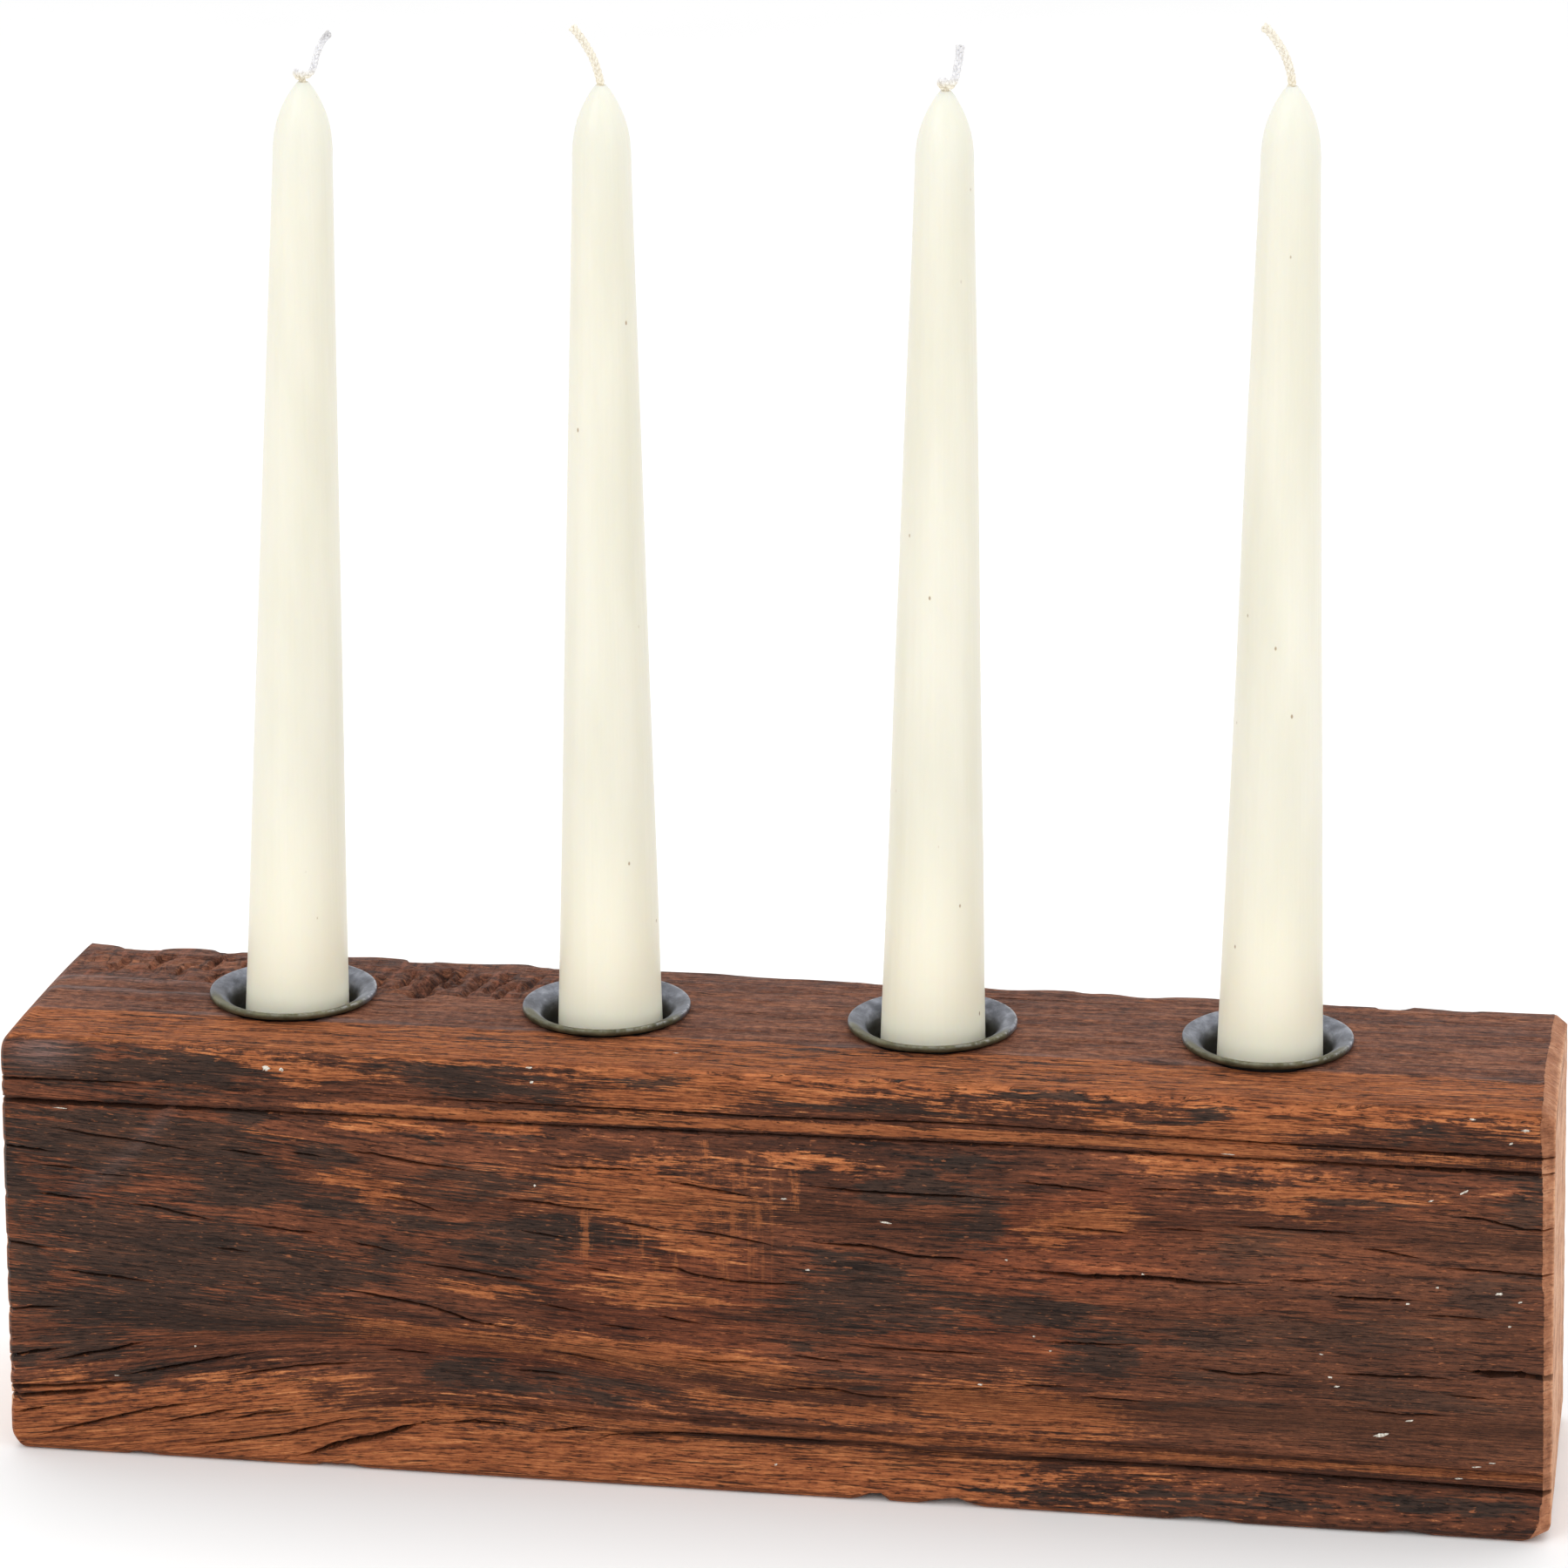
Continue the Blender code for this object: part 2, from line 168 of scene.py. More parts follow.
# Places of colour on the front face, each an ellipse: x, z, half length, half height.
DARK_PATCHES = (
    (-146, 79, 6, 1.5), (-113, 80, 6, 2), (-120, 74, 10, 4), (-111, 65, 9, 3.5), (-142, 66, 6, 2),
    (-164, 65, 3, 8), (-164, 45, 3, 5), (-150, 25, 12, 4), (-163, 22, 5, 3), (-135, 19, 6, 1.5),
    (-96, 73, 5, 3), (-92, 61, 8, 2.2), (-61, 91, 18, 2), (-55, 79.5, 5, 1), (-72, 77, 4, 1),
    (-60, 69, 15, 3), (-50, 57.5, 15, 3), (-77, 59, 8, 2), (-52, 52, 12, 4), (-80, 50, 5, 4),
    (-66, 24, 6, 3), (-54, 21, 8, 2), (-35, 21, 8, 1.5), (-30, 24, 9, 1), (45, 79, 6, 1.2),
    (47, 67, 5, 6), (38, 72, 5, 4), (28, 70, 4, 3), (22, 54, 9, 3), (26, 46, 18, 5.5), (42, 46, 4, 2),
    (10, 36, 6, 2), (17, 30.5, 5.5, 1.3), (20, 27, 2, 1), (70, 36, 7, 4), (77, 42, 3, 2),
    (159, 76, 7, 5), (130, 74, 8, 1), (105, 64, 7, 3), (102, 42, 12, 2), (95, 33, 6, 1.5),
    (154, 55, 6, 3), (-135, 50, 20, 9), (-118, 48, 20, 6), (-140, 34, 20, 4), (-100, 46, 18, 5),
    (-120, 35, 25, 3), (-140, 90, 20, 3), (60, 46, 12, 3), (122, 45, 22, 3), (140, 31, 14, 2.5),
    (95, 27, 14, 1), (146, 8, 12, 1.5), (-142, 73, 15, 5), (-128, 91, 12, 1.5), (-22, 93.5, 9, .8),
    (90, 92, 10, .8), (138, 90, 9, 1), (20, 90, 16, 1), (60, 95, 12, 1), (85, 5, 30, 1.5),
)
BARE_PATCHES = (
    (11, 92, 7, 2.4), (72, 91, 6, 2.8), (36, 89.5, 6, 1.8), (14, 77, 11, 2.5), (55, 23, 19, 6),
    (98, 86, 15, 6), (112, 73, 8, 3), (-80, 80, 10, 2), (-55, 82, 12, 1), (-165, 77, 6, 1),
    (73, 68, 9, 2.6), (62, 63, 8, 1.6), (67.8, 46.5, 1.2, 2.5), (-109.5, 61.5, 1.8, .5), (-100, 92, 22, 2),
    (-20, 90, 22, 3), (-10, 94, 30, 2), (-130, 11, 30, 6), (-90, 8, 30, 6), (-30, 8, 30, 4.5),
    (10, 20, 30, 2), (-75, 33, 26, 1.6), (-25, 31, 30, 3), (-24, 68, 20, 7), (-20, 57, 12, 3),
    (-85, 66, 10, 3), (30, 8, 30, 3.5), (-60, 44, 12, 1.4), (-25, 45, 10, 3), (110, 92, 20, 2),
    (-155, 14, 12, 3), (118, 76, 20, 3), (-108, 77, 5, 1),
)
RED_PATCHES = (
    (69, 66, 18, 8), (45, 41, 20, 5), (-30, 40, 22, 8), (-60, 30, 25, 4), (110, 70, 25, 6),
    (-145, 56, 14, 5), (100, 60, 30, 4), (-20, 50, 22, 8), (110, 50, 16, 4), (60, 57, 20, 6),
)
# Vertical rubbed marks: x, lower z, upper z, half width.
RUBBED_MARKS = (
    (-36.5, 64, 75, .5), (-38.2, 53, 64, .9), (-15.3, 65, 73, .45), (-19, 42, 59, .45),
    (-6.2, 59, 69, .7), (-1, 61, 68, .45), (-8, 49, 59, .5), (7.5, 66, 77, .4), (-26, 54, 60, .4),
    (-12, 74, 81, .4), (-3.5, 70, 77, .35), (-22.5, 47, 54, .35),
)
# Specks of old whitewash: x, z, half length, half height, tilt in degrees.
WHITE_SPECKS = (
    (-107, 92, 1.3, .7, 10), (-103.6, 91.8, .9, .5, -10), (-50, 94.5, .9, .5, 0), (-49, 92, .5, .4, 30),
    (-20, 96, .8, .3, 0), (26.9, 64.5, 1.7, .28, -5), (5, 68.7, .8, .25, 0), (46.9, 28.8, .7, .3, 0),
    (2.8, 7.4, .5, .4, 0), (52.5, 57.7, .5, .25, 0), (75.3, 55.1, .4, .3, 0), (81.3, 56.2, .4, .3, 0),
    (58.4, 40.7, .35, .3, 0), (61.9, 37.6, .35, .25, 0), (99, 84, 2.0, .28, -3),
    (147.8, 78.3, 1.4, .35, 28),
    (141, 76, .8, .2, 20), (149, 94, .8, .5, 0), (155.6, 56.2, 1.1, .5, 10), (142.8, 56.8, .5, .3, 0),
    (136.8, 52.8, .6, .3, 0), (137.8, 26.5, 1.4, .32, 8), (131.8, 22.8, 2.0, .5, 16),
    (152, 16.8, 1.3, .2, 5), (155.3, 17.9, .9, .2, 5), (148.4, 13.9, 1.1, .2, 5), (121, 35.3, .6, .3, 0),
    (122.4, 33.3, .8, .25, 10), (119, 40.4, .7, .2, -10), (-149, 24, .4, .25, 0), (-143, 19, .7, .25, 5),
    (-153, 80.6, 2.0, .18, -3), (-125, 27, .35, .3, 40), (-48.8, 68.6, .35, .35, 0), (158, 49, .6, .3, 0),
    (160, 54.6, .6, .3, 20), (10, 52.8, .6, .3, 0), (160, 92.5, 1.2, .4, 0), (157, 89.5, .7, .3, 30),
)
# Cross-grain adze marks on the top: x, y from, y to, half width, depth.
ADZE_MARKS = (
    (-156, 12, 21, 1.3, 1.1), (-148, 14, 24, 1.2, 1.3), (-141, 11, 20, 1.2, 1.0), (-135, 16, 27, 1.3, 1.2),
    (-133, 7, 14, 1.0, 1.0), (-128, 8, 22, 1.4, 1.3), (-124, 15, 26, 1.1, .8), (-96, 3, 16, 1.4, 1.2),
    (-90, 8, 21, 1.2, 1.2), (-84, 3, 23, 2.0, 2.2), (-79, 10, 24, 1.2, 1.3), (-74, 5, 19, 1.3, 1.2),
    (-69, 8, 22, 1.2, 1.0), (-66, 4, 15, 1.0, .9), (-62, 10, 22, 1.1, .9), (-57, 6, 18, 1.0, .8),
    (-103, 10, 20, 1.1, .8), (-51, 9, 20, 0.9, .6),
)
# Ridges left standing on the top at its left end: y, height, half width of the shine on it.
TOP_RIDGES = ((4.0, 0.45, 1.5), (-3.0, 0.35, 1.0))
# Nicks where the front face meets the left end: z, half height, depth.
LEFT_NICKS = ((86.7, .9, .9), (81.9, 1.0, 1.0), (71.3, .7, .6), (60.0, .6, .4), (49, .9, .8), (41, .6, .4),
              (33, .9, .8), (26, .6, .4), (19, 1.0, .8), (12.4, 1.5, 2.0))
# Bites out of the block's long edges: x, half width, depth.
BOTTOM_CHIPS = ((24, 2.6, 1.8), (41, 5, 1.3), (-95, 5, .6), (-140, 3, .5), (96, 6, .7), (140, 4, .6))
BACK_CHIPS = ((-90, 2.4, 1.4), (-155, 5, .7), (-135, 2.5, .6), (-60, 4, .4), (20, 6, .5), (75, 5, .4),
              (130, 3, 1.4))


# ---------------------------------------------------------------- small helpers

def ease(value, low, high):
    """0 below low, 1 above high, and smooth between; high may be below low."""
    share = np.clip((value - low) / (high - low), 0.0, 1.0)
    return share * share * (3.0 - 2.0 * share)


def bell(value, centre, width, power=2):
    """1 at the centre, falling smoothly to 0 over about the width; a higher power has a flatter top."""
    return np.exp(-(((value - centre) / width) ** power))


def noise(u, v, seed):
    """Smooth 2-D noise from -1 to 1 that changes over about 1 in u and v."""
    table = np.random.default_rng(seed).uniform(-1.0, 1.0, (256, 256))
    column, row = np.floor(u).astype(int), np.floor(v).astype(int)
    across, up = ease(u - column, 0, 1), ease(v - row, 0, 1)
    left, right = (table[(column + i) % 256, row % 256] * (1.0 - up)
                   + table[(column + i) % 256, (row + 1) % 256] * up for i in (0, 1))
    return left * (1.0 - across) + right * across


def layered_noise(u, v, seed, layers=3):
    """Noise with finer and weaker layers on top."""
    return sum(noise(u * 2 ** k, v * 2 ** k, seed + k) / 2 ** k for k in range(layers))


def polyline(x, points):
    """Height at x of a line through points (x, z)."""
    return np.interp(x, *zip(*points))


def distances(points):
    """Length of the way along the points up to each of them."""
    return np.cumsum([0.0] + [(b - a).length for a, b in zip(points, points[1:])])


def add_object(name, data):
    made = bpy.data.objects.new(name, data)
    bpy.context.scene.collection.objects.link(made)
    return made


def add_piece(name, mesh, materials, body, cad_nodes):
    """Makes a shown piece from a mesh in metres, ties it to its body and hides the CAD nodes it stands for.
    """
    piece = add_object(name, mesh)
    for material in materials:
        mesh.materials.append(material)
    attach(piece, body)
    if cad_nodes:
        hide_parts(*cad_nodes)
    return piece


def to_mesh(name, work):
    """Turns a bmesh into a mesh whose faces all look outwards."""
    bmesh.ops.recalc_face_normals(work, faces=work.faces)
    mesh = bpy.data.meshes.new(name)
    work.to_mesh(mesh)
    work.free()
    return mesh


def add_tube(work, rings, capped=True):
    """Adds faces between closed rings of vertices in a row, and over both ends if capped."""
    for near, far in zip(rings, rings[1:]):
        for i in range(len(near)):
            j = (i + 1) % len(near)
            work.faces.new((near[i], near[j], far[j], far[i]))
    if capped:
        work.faces.new(rings[0])
        work.faces.new(rings[-1])


def shade(mesh, sharp_degrees):
    """Smooth shading with edges sharper than the angle kept crisp."""
    mesh.polygons.foreach_set("use_smooth", [True] * len(mesh.polygons))
    mesh.set_sharp_from_angle(angle=math.radians(sharp_degrees))


def store(mesh, name, values):
    """Keeps one number, or one vector, for each vertex under a name that materials can read."""
    kind, field = ("FLOAT_VECTOR", "vector") if values.ndim == 2 else ("FLOAT", "value")
    attribute = mesh.attributes.new(name, kind, "POINT")
    attribute.data.foreach_set(field, values.astype(np.float32).ravel())


def read(items, field, kind=np.float32):
    """One number, or one vector, of each of the items, as an array."""
    width = 3 if field in ("co", "center", "normal") else 1
    values = np.empty(len(items) * width, kind)
    items.foreach_get(field, values)
    return values.reshape(-1, width) if width > 1 else values


# ---------------------------------------------------------------- the block's relief

def cuts_in_front(x, z):
    """Depth of the moulded grooves at a place on the front face."""
    depth = np.zeros_like(x)
    for line, half_width, groove_depth in GROOVES:
        start = line[0][0]
        fade = ease(x, start - 1.0, start + 12.0) if start > -160 else 1.0
        off = (z - polyline(x, line)) / half_width
        depth = np.maximum(depth, groove_depth * fade * np.exp(-off * off * 1.2))
    return depth


def cuts_in_top(x, y):
    """Depth of the ragged adze marks at a place on the top: steep on one side, sloping on the other."""
    depth = np.zeros_like(x)
    ragged = 1.1 * layered_noise(x * 0.5, y * 0.45, 31)
    for mark_x, y_from, y_to, half_width, mark_depth in ADZE_MARKS:
        off = (x - mark_x - 0.16 * (y - y_from) + ragged) / half_width
        inside = ease(y, y_from - 1.5, y_from + 1.5) * ease(y, y_to + 1.5, y_to - 1.5)
        steep = np.where(off > 0, 3.4, 0.9) * off * off
        depth = np.maximum(depth, 1.45 * mark_depth * inside * np.exp(-steep))
    return depth


def edge_bites(x, bites, seed):
    depth = np.zeros_like(x)
    for place, half_width, bite in bites:
        ragged = 1.0 + 0.35 * noise(x * 0.9, place, seed)
        depth = np.maximum(depth, bite * ragged * bell(x, place, half_width, 4))
    return depth


def relief(x, y, z):
    """How far the worn surface stands out from the plain block, in mm, at nominal places on it."""
    front = ease(-y, HALF_DEPTH - 2.2, HALF_DEPTH - 0.4)
    top = ease(z, HEIGHT - 5.0, HEIGHT - 2.2)
    back = ease(y, HALF_DEPTH - 2.2, HALF_DEPTH - 0.4)
    around = np.where(front > 0.5, z, np.where(top > 0.5, HEIGHT + y + HALF_DEPTH, 4 * HEIGHT - z))
    fall = 0.06 * x * ease(around, HEIGHT, 70.0) * ease(x, 60.0, -60.0)
    swell = 0.22 * noise(x / 55.0, around / 14.0, 3)
    ridges = layered_noise(x / 30.0, (around + fall) / 1.9, 5)

    bead = np.clip(1.0 - ((z - BEAD_MIDDLE) / 1.6) ** 2, 0.0, 1.0)
    fine = 0.035 * noise(x / 4.0, z / 0.8, 11)
    out = swell + 0.07 * ridges + front * (0.28 * bead - cuts_in_front(x, z) + fine)

    flake = ease(layered_noise(x / 9.0, y / 2.6, 17), 0.25, 0.75)
    worn_front = ease(y, CROWN_FRONT + 1.0, CROWN_FRONT - 1.2)
    out += top * (0.10 * ridges - 0.30 * worn_front - 0.22 * flake - cuts_in_top(x, y))
    left = ease(x, -118.0, -130.0)
    for ridge_y, height, _ in TOP_RIDGES:
        out += top * left * height * bell(y, ridge_y, 0.9)
    chatter = ease(x, -55.0, -70.0) * ease(y, 2.0, 8.0) * ease(y, 29.0, 22.0)
    out += top * chatter * 0.28 * layered_noise(x / 2.2, y / 3.0, 23)
    out += back * (0.16 * layered_noise(x / 18.0, z / 1.6, 29) + 0.10 * noise(x / 1.7, z / 14.0, 37))

    far_edge = ease(y, HALF_DEPTH - 7.0, HALF_DEPTH - 3.0) * ease(z, HEIGHT - 8.0, HEIGHT - 4.5)
    out -= far_edge * (edge_bites(x, BACK_CHIPS, 43) + 0.35 + 0.35 * noise(x / 11.0, 0.0, 47))
    near_edge = bell(y, 1.0 - HALF_DEPTH, 2.2) * bell(z, HEIGHT - 1.8, 2.2)
    return out - near_edge * np.clip(0.35 + 0.5 * layered_noise(x / 7.0, 0.0, 53), 0.0, 1.2)


def crown(y):
    """Nominal height of the top across the block."""
    front = FRONT_EDGE_DROP * np.clip((CROWN_FRONT - y) / (CROWN_FRONT + HALF_DEPTH), 0, 1) ** 2
    back = BACK_EDGE_DROP * np.clip((y - CROWN_BACK) / (HALF_DEPTH - CROWN_BACK), 0, 1) ** 1.5
    return HEIGHT - front - back


def arc(centre_y, centre_z, radius, start_degrees, end_degrees, steps):
    angles = np.radians(np.linspace(start_degrees, end_degrees, steps + 1))
    return np.stack([centre_y + radius * np.cos(angles), centre_z + radius * np.sin(angles)], 1)


def spaced(low, high, step):
    """Places after low, up to the first past high; step gives the gap that follows a place."""
    places = [low]
    while places[-1] < high:
        places.append(places[-1] + step(places[-1]))
    return places[1:]


def cross_section():
    """Closed outline (y, z) of the block, from the lower front edge up and over the top."""
    d, r, t, b = HALF_DEPTH, BOTTOM_EDGE_RADIUS, TOP_EDGE_RADIUS, BACK_EDGE_RADIUS
    front_top, back_top = crown(-d + t) - t, crown(d - b) - b
    grooves = [line[0][1] for line, _, _ in GROOVES[:3]] + [LAST_GROOVE_ROWS]

    def row_gap(z):
        return 0.32 if any(abs(z - groove) < 1.9 for groove in grooves) else 0.66

    front = np.array(spaced(r, front_top - 0.66, row_gap))
    top = np.arange(-d + t + 0.8, d - b, 0.8)
    back = np.arange(back_top - 2.6, r + 1.3, -2.6)
    bottom = np.arange(d - r - 5.0, -d + r + 2.0, -5.0)
    return np.concatenate([
        arc(-d + r, r, r, 270, 180, 5),
        np.stack([np.full_like(front, -d), front], 1),
        arc(-d + t, front_top, t, 180, 90, 7),
        np.stack([top, crown(top)], 1),
        arc(d - b, back_top, b, 90, 0, 6),
        np.stack([np.full_like(back, d), back], 1),
        arc(d - r, r, r, 0, -90, 3),
        np.stack([bottom, np.zeros_like(bottom)], 1),
    ])


# Places of the block's outlines from each end.
END_STEPS = np.array([0, .45, .95, 1.5, 2.1, 2.8, 3.6, 4.6, 5.8, 7.2])


def stations():
    """Places along the beam, closer together where the adze marks and rubbed marks are."""
    end = HALF_LENGTH - END_STEPS[-1]
    middle = spaced(-end, end - 1.0, lambda x: 0.75 if x < -46 else 1.4 if x < 10 else 2.1)[:-1]
    return np.concatenate([-HALF_LENGTH + END_STEPS, middle, HALF_LENGTH - END_STEPS[::-1]])


def end_limit(y, z):
    """Half length of the block at a place on its end, which is out of square and has rounded edges."""
    limit = HALF_LENGTH - END_DRAFT * 2.0 * z / HEIGHT
    for gap, radius in ((z, 5.0), (HEIGHT - z, 3.0), (HALF_DEPTH - y, 3.5)):
        inside = np.clip(radius - gap, 0.0, radius)
        limit = limit - (radius - np.sqrt(radius * radius - inside * inside * 0.80))
    return limit


def chamfer_width(x, z):
    """Width of the sanded strip along each end's edges: wider at the top right."""
    right = np.interp(z, [0, 12, 50, 80, 94, HEIGHT], [3.0, 1.5, 1.8, 2.3, 2.8, 1.6])
    return np.where(x > 0, right, 0.8) + 0.10 * layered_noise(z / 4.0, 9.0, 61)


def block_mesh():
    """The worn block as one closed mesh, without its splits and sockets, in mm."""
    section, middle = cross_section(), HEIGHT / 2
    x, y, z = np.broadcast_arrays(stations()[:, None], section[:, 0], section[:, 1])
    along = np.roll(section, -1, 0) - np.roll(section, 1, 0)
    along /= np.linalg.norm(along, axis=1)[:, None]
    from_end = HALF_LENGTH - np.abs(x)
    out = relief(x, y, z) * ease(z, -1.0, 3.0) * ease(from_end, 0.0, 4.0)
    inset = np.where(x > 0, 1.8, 1.2) * np.clip(1.0 - from_end / chamfer_width(x, z), 0.0, 1.0) ** 0.85
    y = (y - along[:, 1] * out) * (1.0 - inset / HALF_DEPTH)
    z = middle + (z + along[:, 0] * out - middle) * (1.0 - inset / middle)

    chip = edge_bites(x, BOTTOM_CHIPS, 41) * ease(-y, HALF_DEPTH - 7.0, HALF_DEPTH - 1.5)
    z = np.where(z < 6.0, chip + z * (6.0 - chip) / 6.0, z)
    x = x * end_limit(y, z) / HALF_LENGTH
    nick = sum(depth * bell(z, place, half) for place, half, depth in LEFT_NICKS)
    nick = nick * ease(x, 4.0 - HALF_LENGTH, 0.5 - HALF_LENGTH)
    nick = nick * ease(-y, HALF_DEPTH - 9.0, HALF_DEPTH - 2.0)

    work = bmesh.new()
    rings = [[work.verts.new(p) for p in ring] for ring in np.stack([x + nick, y, z], 2)]
    add_tube(work, rings, capped=False)
    close_end(work, rings[0], -1)
    close_end(work, rings[-1], 1)
    return work


def close_end(work, edge, side):
    """Fills one end with rings of faces that shrink to its middle, with faint saw marks."""
    places, middle, rings = np.array([v.co for v in edge]), HEIGHT / 2, [edge]
    for share in (.985, .96, .92, .86, .78, .68, .56, .43, .29, .15):
        y = places[:, 1] * share
        z = middle + (places[:, 2] - middle) * share
        saw = 0.07 * noise(z / 2.3 + y / 30.0, y / 40.0, 71 + side) + 0.05 * noise(z / 0.9, y / 9.0, 73)
        x = side * (end_limit(y, z) - 0.02 + saw)
        rings.append([work.verts.new(p) for p in zip(x, y, z)])
    add_tube(work, rings, capped=False)
    centre = work.verts.new((side * end_limit(0.0, middle), 0, middle))
    for here, following in zip(rings[-1], rings[-1][1:] + rings[-1][:1]):
        work.faces.new((here, following, centre))


# ---------------------------------------------------------------- splits and sockets

SPLIT_STEP = 1.3
SPLIT_RISE = 1.6  # how far a wedge stands out of the wood before the cut
split_random = np.random.default_rng(83)


def add_split(work, points, outward, width, depth, open_start=False, open_end=False):
    """Adds a thin wedge along the points, to be cut out of the block as a split in the wood."""
    points, up = [Vector(p) for p in points], Vector(outward)
    lengths = distances(points)
    steps = max(4, round(lengths[-1] / SPLIT_STEP))
    places = np.linspace(0.0, lengths[-1], steps + 1)
    centre = np.stack([np.interp(places, lengths, [p[i] for p in points]) for i in range(3)], 1)
    share = places / lengths[-1]
    swell = 1.0 + 0.28 * split_random.uniform(-1, 1, steps + 1)
    swell *= 1.0 if open_start else ease(share, 0.0, 0.3)
    swell *= 1.0 if open_end else ease(share, 1.0, 0.7)
    if open_start:
        swell += 1.1 * ease(share, 0.25, 0.0)
    if open_end:
        swell += 0.6 * ease(share, 0.75, 1.0)
    side = np.array((points[-1] - points[0]).normalized().cross(up).normalized())
    centre += side * (0.10 * split_random.uniform(-1, 1, steps + 1))[:, None]
    half = width / 2 * np.maximum(swell, 0.12)
    reach = depth * np.maximum(swell, 0.3)
    spread = side * (half * (SPLIT_RISE + reach) / reach)[:, None]
    rim = centre + np.array(up) * SPLIT_RISE
    bands = np.stack([rim + spread, rim - spread, centre - np.array(up) * reach[:, None]], 1)
    add_tube(work, [[work.verts.new(corner) for corner in band] for band in bands])


def front_splits():
    """Wedges for the front face, in two sets so that no two in a set cross."""
    sets = (bmesh.new(), bmesh.new())
    for place, (width, *points) in enumerate(CRACKS):
        route = [(x, -HALF_DEPTH, z) for x, z in points]
        add_split(sets[place % 2], route, (0, -1, 0), 1.4 * width + 0.09, 1.1 + 2.4 * width,
                  points[0][0] < -HALF_LENGTH, points[-1][0] > HALF_LENGTH)
    return sets


def random_splits():
    """Wedges along the grain for the top and the back, and checks in both ends."""
    work, draw = bmesh.new(), split_random.uniform
    for y in np.arange(-29.0, 31.0, 2.9):
        x = -HALF_LENGTH + 6 + draw(0, 60)
        while x < HALF_LENGTH - 40:
            length = draw(12, 46)
            quarters = x + length * np.arange(5) / 4
            if abs(y) > 21 or min(np.abs(quarters - cup_x).min() for cup_x in CUP_X.values()) > 21:
                tilt, level = draw(-0.012, 0.02) * length, float(crown(y))
                route = [(x, y, level), (x + length / 2, y + tilt, level),
                         (x + length, y + tilt * 1.4, level)]
                add_split(work, route, (0, 0, 1), draw(.2, .4), 1.5)
            x += length + draw(14, 60)
    for z in np.arange(5.0, 92.0, 3.7):
        x = -HALF_LENGTH + 4 + draw(0, 70)
        while x < HALF_LENGTH - 40:
            length = draw(16, 60)
            tilt = draw(-0.03, 0.03) * length
            route = [(x, HALF_DEPTH, z), (x + length / 2, HALF_DEPTH, z + tilt),
                     (x + length, HALF_DEPTH, z + tilt * 1.3)]
            add_split(work, route, (0, 1, 0), draw(.3, .95), 2.4)
            x += length + draw(20, 90)
    for side in (-1, 1):
        for z, reach in ((15, 20), (29, 13), (41, 17), (58, 22), (68, 12), (80, 15)):
            y = draw(-14, 4)
            route = [(side * HALF_LENGTH, y, z), (side * HALF_LENGTH, y + reach, z + draw(-3, 3))]
            add_split(work, route, (side, 0, 0), draw(.35, .8), 2.6)
    return work


def socket_cutters():
    """Countersunk sockets for the cups, each with a pilot hole for its screw."""
    floor, top, segments = CUP_UNDERSIDE - 0.3, HEIGHT + 3, 56
    outline = ((0, PILOT_FLOOR), (PILOT_RADIUS, PILOT_FLOOR), (PILOT_RADIUS, floor), (SOCKET_RADIUS, floor),
               (SOCKET_RADIUS, HEIGHT - COUNTERSINK_DEPTH), (COUNTERSINK_RADIUS, HEIGHT + 0.3),
               (COUNTERSINK_RADIUS, top), (0, top))
    turns = [2 * math.pi * k / segments for k in range(segments)]
    work = bmesh.new()
    for cup_x in CUP_X.values():
        rings = [[work.verts.new((cup_x + radius * math.cos(a), radius * math.sin(a), z))
                  for a in (turns if radius else turns[:1])] for radius, z in outline]
        for near, far in zip(rings, rings[1:]):
            for i in range(segments):
                j = (i + 1) % segments
                corners = near[i % len(near)], near[j % len(near)], far[j % len(far)], far[i % len(far)]
                work.faces.new(list(dict.fromkeys(corners)))
    return work


def temporary(name, work, materials, material_index=0):
    """A throw-away object from a bmesh in mm, for cutting."""
    for face in work.faces:
        face.material_index = material_index
    mesh = to_mesh(name, work)
    for material in materials:
        mesh.materials.append(material)
    return add_object(name, mesh)


def cut_block(wood, inside):
    """The worn block with every split and socket cut out of it, as a mesh in mm."""
    both = (wood, inside)
    block = temporary("uncut", block_mesh(), both)
    cutters = [temporary("cutter", work, both, 1) for work in (*front_splits(), random_splits())]
    cutters.append(temporary("cutter", socket_cutters(), both))
    for cutter in cutters:
        modifier = block.modifiers.new("cut", "BOOLEAN")
        modifier.operation, modifier.solver, modifier.object = "DIFFERENCE", "MANIFOLD", cutter
    evaluated = block.evaluated_get(bpy.context.evaluated_depsgraph_get())
    mesh = bpy.data.meshes.new_from_object(evaluated)
    for made in (block, *cutters):
        bpy.data.objects.remove(made)
    return mesh


# ---------------------------------------------------------------- colour masks of the block

def grain_slope(x, z):
    """Slope of the grain on the front face: it falls to the right, and rises at the lower left."""
    falling = -0.085 * ease(x, 70.0, -60.0) * (1.0 - 0.6 * ease(z, 78.0, 88.0))
    rising = 0.20 * ease(x, -45.0, -95.0)
    border = 32.0 - 20.0 * ease(x, -95.0, -35.0)
    share = ease(z, border - 8.0, border + 8.0)
    return rising * (1.0 - share) + falling * share + 0.05 * noise(x / 30.0, z / 9.0, 91)


def grain_level(x, z):
    """Height where the grain line through a place on the front meets the left end, eased towards z."""
    level, place, step = z.copy(), x.copy(), 4.0
    for _ in range(int(2 * HALF_LENGTH / step) + 1):
        stride = np.clip(place + HALF_LENGTH, 0.0, step)
        level -= grain_slope(place, level) * stride
        place -= stride
    return 0.72 * level + 0.28 * z


